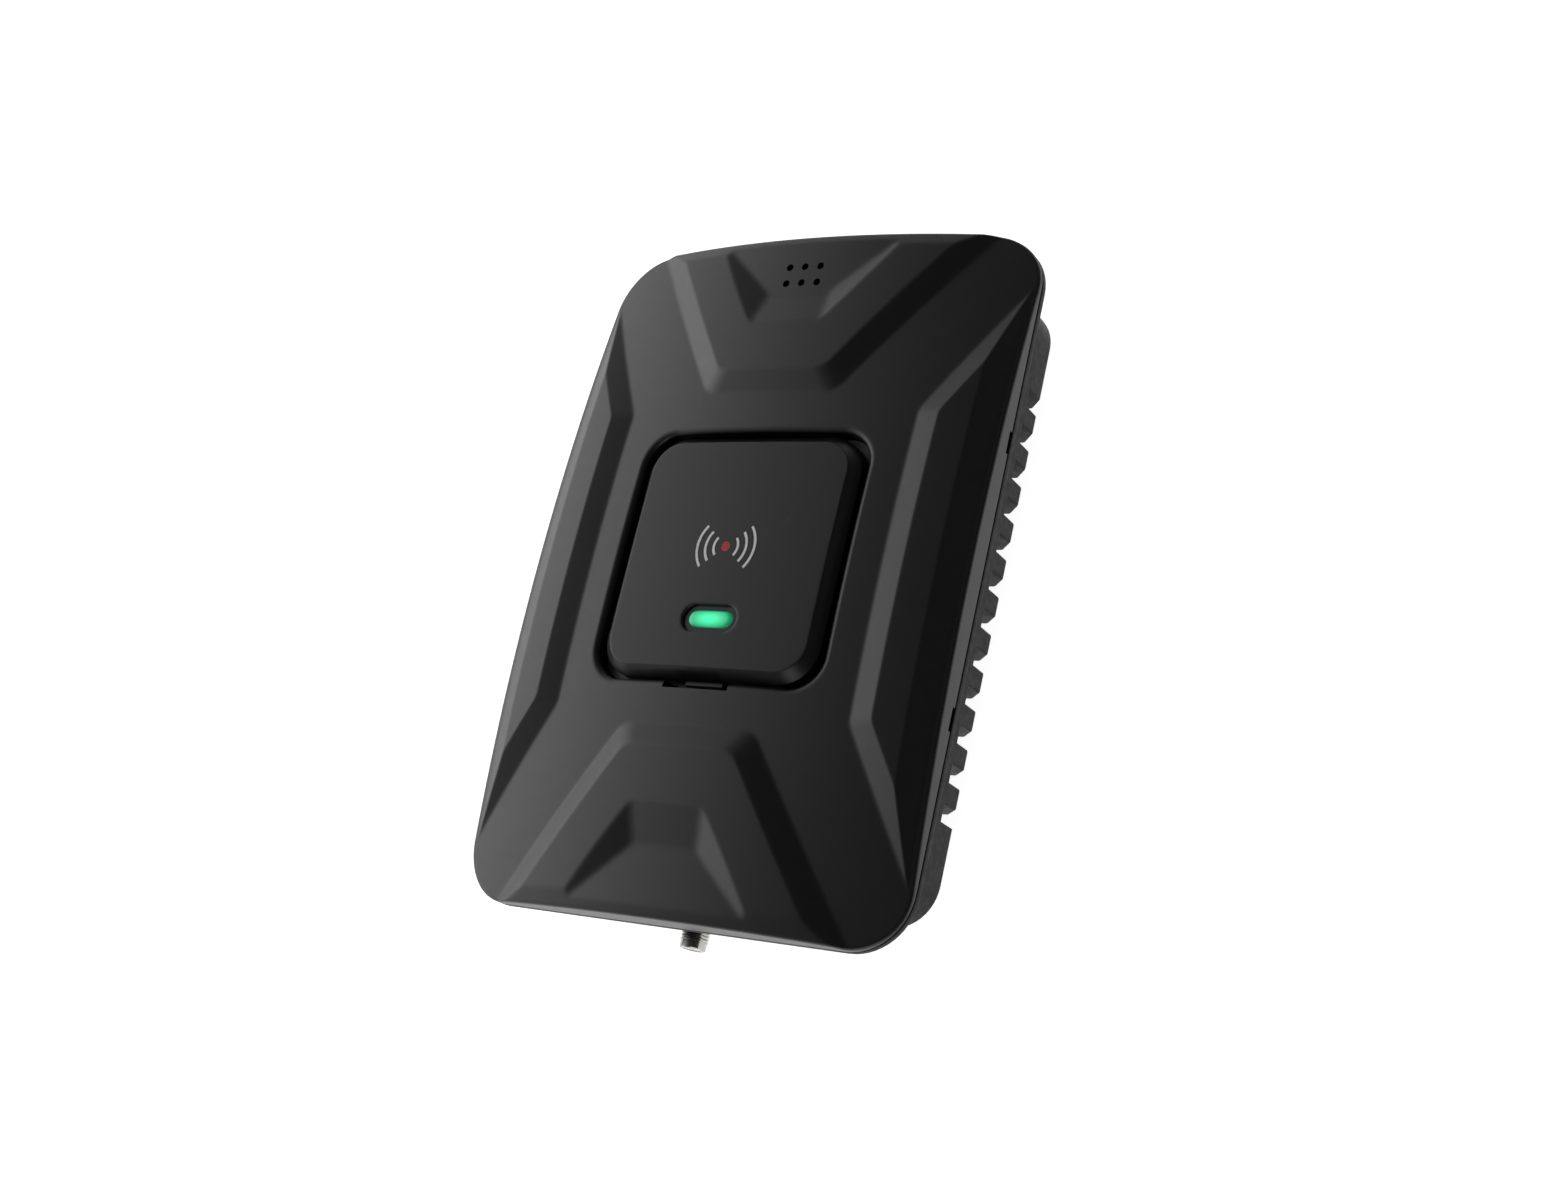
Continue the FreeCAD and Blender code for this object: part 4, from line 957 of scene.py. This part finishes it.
def studio_sky():
    """Soft light all round, bright low on the left, dark overhead and on the right."""
    world = bpy.data.worlds.new("studio")
    world.use_nodes = True
    tree = world.node_tree
    place = tree.nodes.new("ShaderNodeTexCoord")
    towards = tree.nodes.new("ShaderNodeVectorMath")
    towards.operation = "DOT_PRODUCT"
    towards.inputs[1].default_value = Vector(SKY_TOWARDS).normalized()
    lobe = tree.nodes.new("ShaderNodeMath")
    lobe.operation = "POWER"
    lobe.inputs[1].default_value = SKY_TIGHTNESS
    lobe.use_clamp = True
    above = tree.nodes.new("ShaderNodeMath")
    above.operation = "MAXIMUM"
    above.inputs[1].default_value = 0.0
    level = tree.nodes.new("ShaderNodeMath")
    level.operation = "MULTIPLY_ADD"
    level.inputs[1].default_value = SKY_PEAK
    level.inputs[2].default_value = SKY_BASE
    tree.links.new(place.outputs["Generated"], towards.inputs[0])
    tree.links.new(towards.outputs["Value"], above.inputs[0])
    tree.links.new(above.outputs["Value"], lobe.inputs[0])
    tree.links.new(lobe.outputs["Value"], level.inputs[0])
    background = tree.nodes["Background"]
    background.inputs["Color"].default_value = (1, 1, 1, 1)
    tree.links.new(level.outputs["Value"], background.inputs["Strength"])
    bpy.context.scene.world = world


def studio_sun():
    """Broad soft lamp, low off the near end, which lights the table evenly."""
    lamp = bpy.data.lights.new("fill", "SUN")
    lamp.energy = SUN_STRENGTH
    lamp.angle = math.radians(35)
    holder = bpy.data.objects.new("fill", lamp)
    bpy.context.scene.collection.objects.link(holder)
    holder.rotation_euler = Vector(SUN_TOWARDS).to_track_quat("Z", "Y").to_euler()


def studio_light():
    studio_sky()
    studio_sun()
    bpy.context.scene.view_settings.view_transform = "Standard"


def studio_camera():
    """Camera at the photograph's angle, above the right side and a little towards the near end."""
    look = Vector(CAMERA_LOOK).normalized()
    right = look.cross(Vector(CAMERA_UP)).normalized()
    up = right.cross(look)
    camera = bpy.data.cameras.new("camera")
    camera.lens = CAMERA_LENS
    camera.sensor_width = SENSOR_WIDTH
    camera.sensor_fit = "HORIZONTAL"
    camera.clip_start = 0.01
    holder = bpy.data.objects.new("camera", camera)
    bpy.context.scene.collection.objects.link(holder)
    turn = Matrix((right, up, -look)).transposed().to_4x4()
    holder.matrix_world = Matrix.Translation(CAMERA_PLACE) @ turn
    bpy.context.scene.camera = holder


def make_materials():
    """Every material slot's paint."""
    return {
        "cover_plastic": moulded_plastic("cover plastic", rough=0.40, edge_light=(0.02, 0.02, 0.021),
                                         grain_size=0.32 * MM, grain_depth=0.012 * MM, shine=0.48),
        "plate_plastic": moulded_plastic("plate plastic", rough=0.36, edge_light=(0.014, 0.014, 0.0145),
                                         grain_size=0.22 * MM, grain_depth=0.006 * MM, shine=0.38),
        "status_lens": glowing_lens("status lens"),
        "clear_plastic": solid_plastic("clear acrylic", (0.5, 0.62, 0.56), (0.6, 0.7, 0.64), 0.12,
                                       Transmission_Weight=0.9, IOR=1.49),
        "seal_rubber": solid_plastic("seal rubber", (0.006, 0.006, 0.006), (0.012, 0.012, 0.012), 0.75),
        "black_aluminium": cast_metal("powder-coated metal"),
        "circuit_board": circuit_board("circuit board"),
        "led_package": solid_plastic("lamp package", (0.75, 0.78, 0.7), (0.88, 0.9, 0.82), 0.3),
        "shield_metal": plated_metal("tin plate", (0.62, 0.61, 0.58), (0.75, 0.74, 0.71), 0.3),
        "chip_epoxy": solid_plastic("chip epoxy", (0.012, 0.012, 0.013), (0.022, 0.022, 0.023), 0.5),
        "ceramic_filter": solid_plastic("glazed ceramic", (0.6, 0.56, 0.48), (0.72, 0.68, 0.6), 0.22,
                                        Coat_Weight=0.5),
        "capacitor_can": plated_metal("drawn aluminium can", (0.7, 0.71, 0.73), (0.8, 0.81, 0.83), 0.3),
        "thermal_pad": solid_plastic("thermal pad", (0.32, 0.42, 0.52), (0.42, 0.52, 0.6), 0.8),
        "jack_plastic": solid_plastic("jack plastic", (0.010, 0.010, 0.010), (0.018, 0.018, 0.018), 0.5),
        "contact_metal": plated_metal("gold plate", (0.75, 0.52, 0.2), (0.9, 0.68, 0.32), 0.22),
        "screw_steel": brushed_steel("screw steel"),
        "nickel_metal": plated_metal("bright nickel", (0.36, 0.35, 0.33), (0.52, 0.51, 0.48), 0.2,
                                     turned=True),
        "port_insulator": solid_plastic("white fluoropolymer", (0.78, 0.78, 0.76), (0.88, 0.88, 0.86), 0.4),
    }


def paint_cad_nodes(materials):
    """Give each carried-over CAD node the paint of its own slot."""
    for part in frame["record"]["subparts"]:
        node = frame["nodes"][part["node"]]
        node.data.materials.clear()
        node.data.materials.append(materials[part["material_slot"]])
        for face in node.data.polygons:
            face.material_index = 0


def arc_band(radius, middle, segments=24):
    """Thin curved stroke of printed ink, as a closed solid."""
    angles = np.radians(np.linspace(middle - MARK_SPREAD / 2, middle + MARK_SPREAD / 2, segments + 1))
    directions = np.column_stack([np.cos(angles), np.sin(angles)])
    outer = (radius + MARK_STROKE / 2) * directions
    inner = (radius - MARK_STROKE / 2) * directions[::-1]
    plan = np.concatenate([outer, inner]) + (0, MARK_Y)
    return rings_to_mesh("arc", [at_height(plan, INK_LOW), at_height(plan, INK_HIGH)])


def printed_mark():
    """Plain radio-wave symbol on the centre plate: a dot between pairs of arcs."""
    white = printed_ink("white ink", (0.72, 0.72, 0.72), (0.85, 0.85, 0.85))
    red = printed_ink("red ink", (0.42, 0.02, 0.04), (0.58, 0.035, 0.06))
    arcs = [arc_band(radius, middle) for radius in MARK_RADII for middle in (0, 180)]
    piece("wave_symbol", shade(joined("wave symbol", arcs)), "plate", white)
    dot = rod(MARK_DOT_RADIUS, 0, MARK_Y, INK_LOW, INK_HIGH, 40)
    piece("wave_dot", shade(dot), "plate", red)


def build():
    materials = make_materials()
    paint_cad_nodes(materials)
    for name, mesh, body, slot, node in (
            ("front_cover_skin", cover_mesh(), "unit", "cover_plastic", "front_cover"),
            ("centre_plate_skin", plate_mesh(), "plate", "plate_plastic", "centre_plate"),
            ("status_window", lens_mesh(), "plate", "status_lens", "status_lens"),
            ("finned_heat_sink", sink_mesh(), "unit", "black_aluminium", "heat_sink")):
        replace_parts(piece(name, mesh, body, materials[slot]), node)
    printed_mark()


build()
studio_floor()
studio_light()
studio_camera()
bpy.context.view_layer.update()
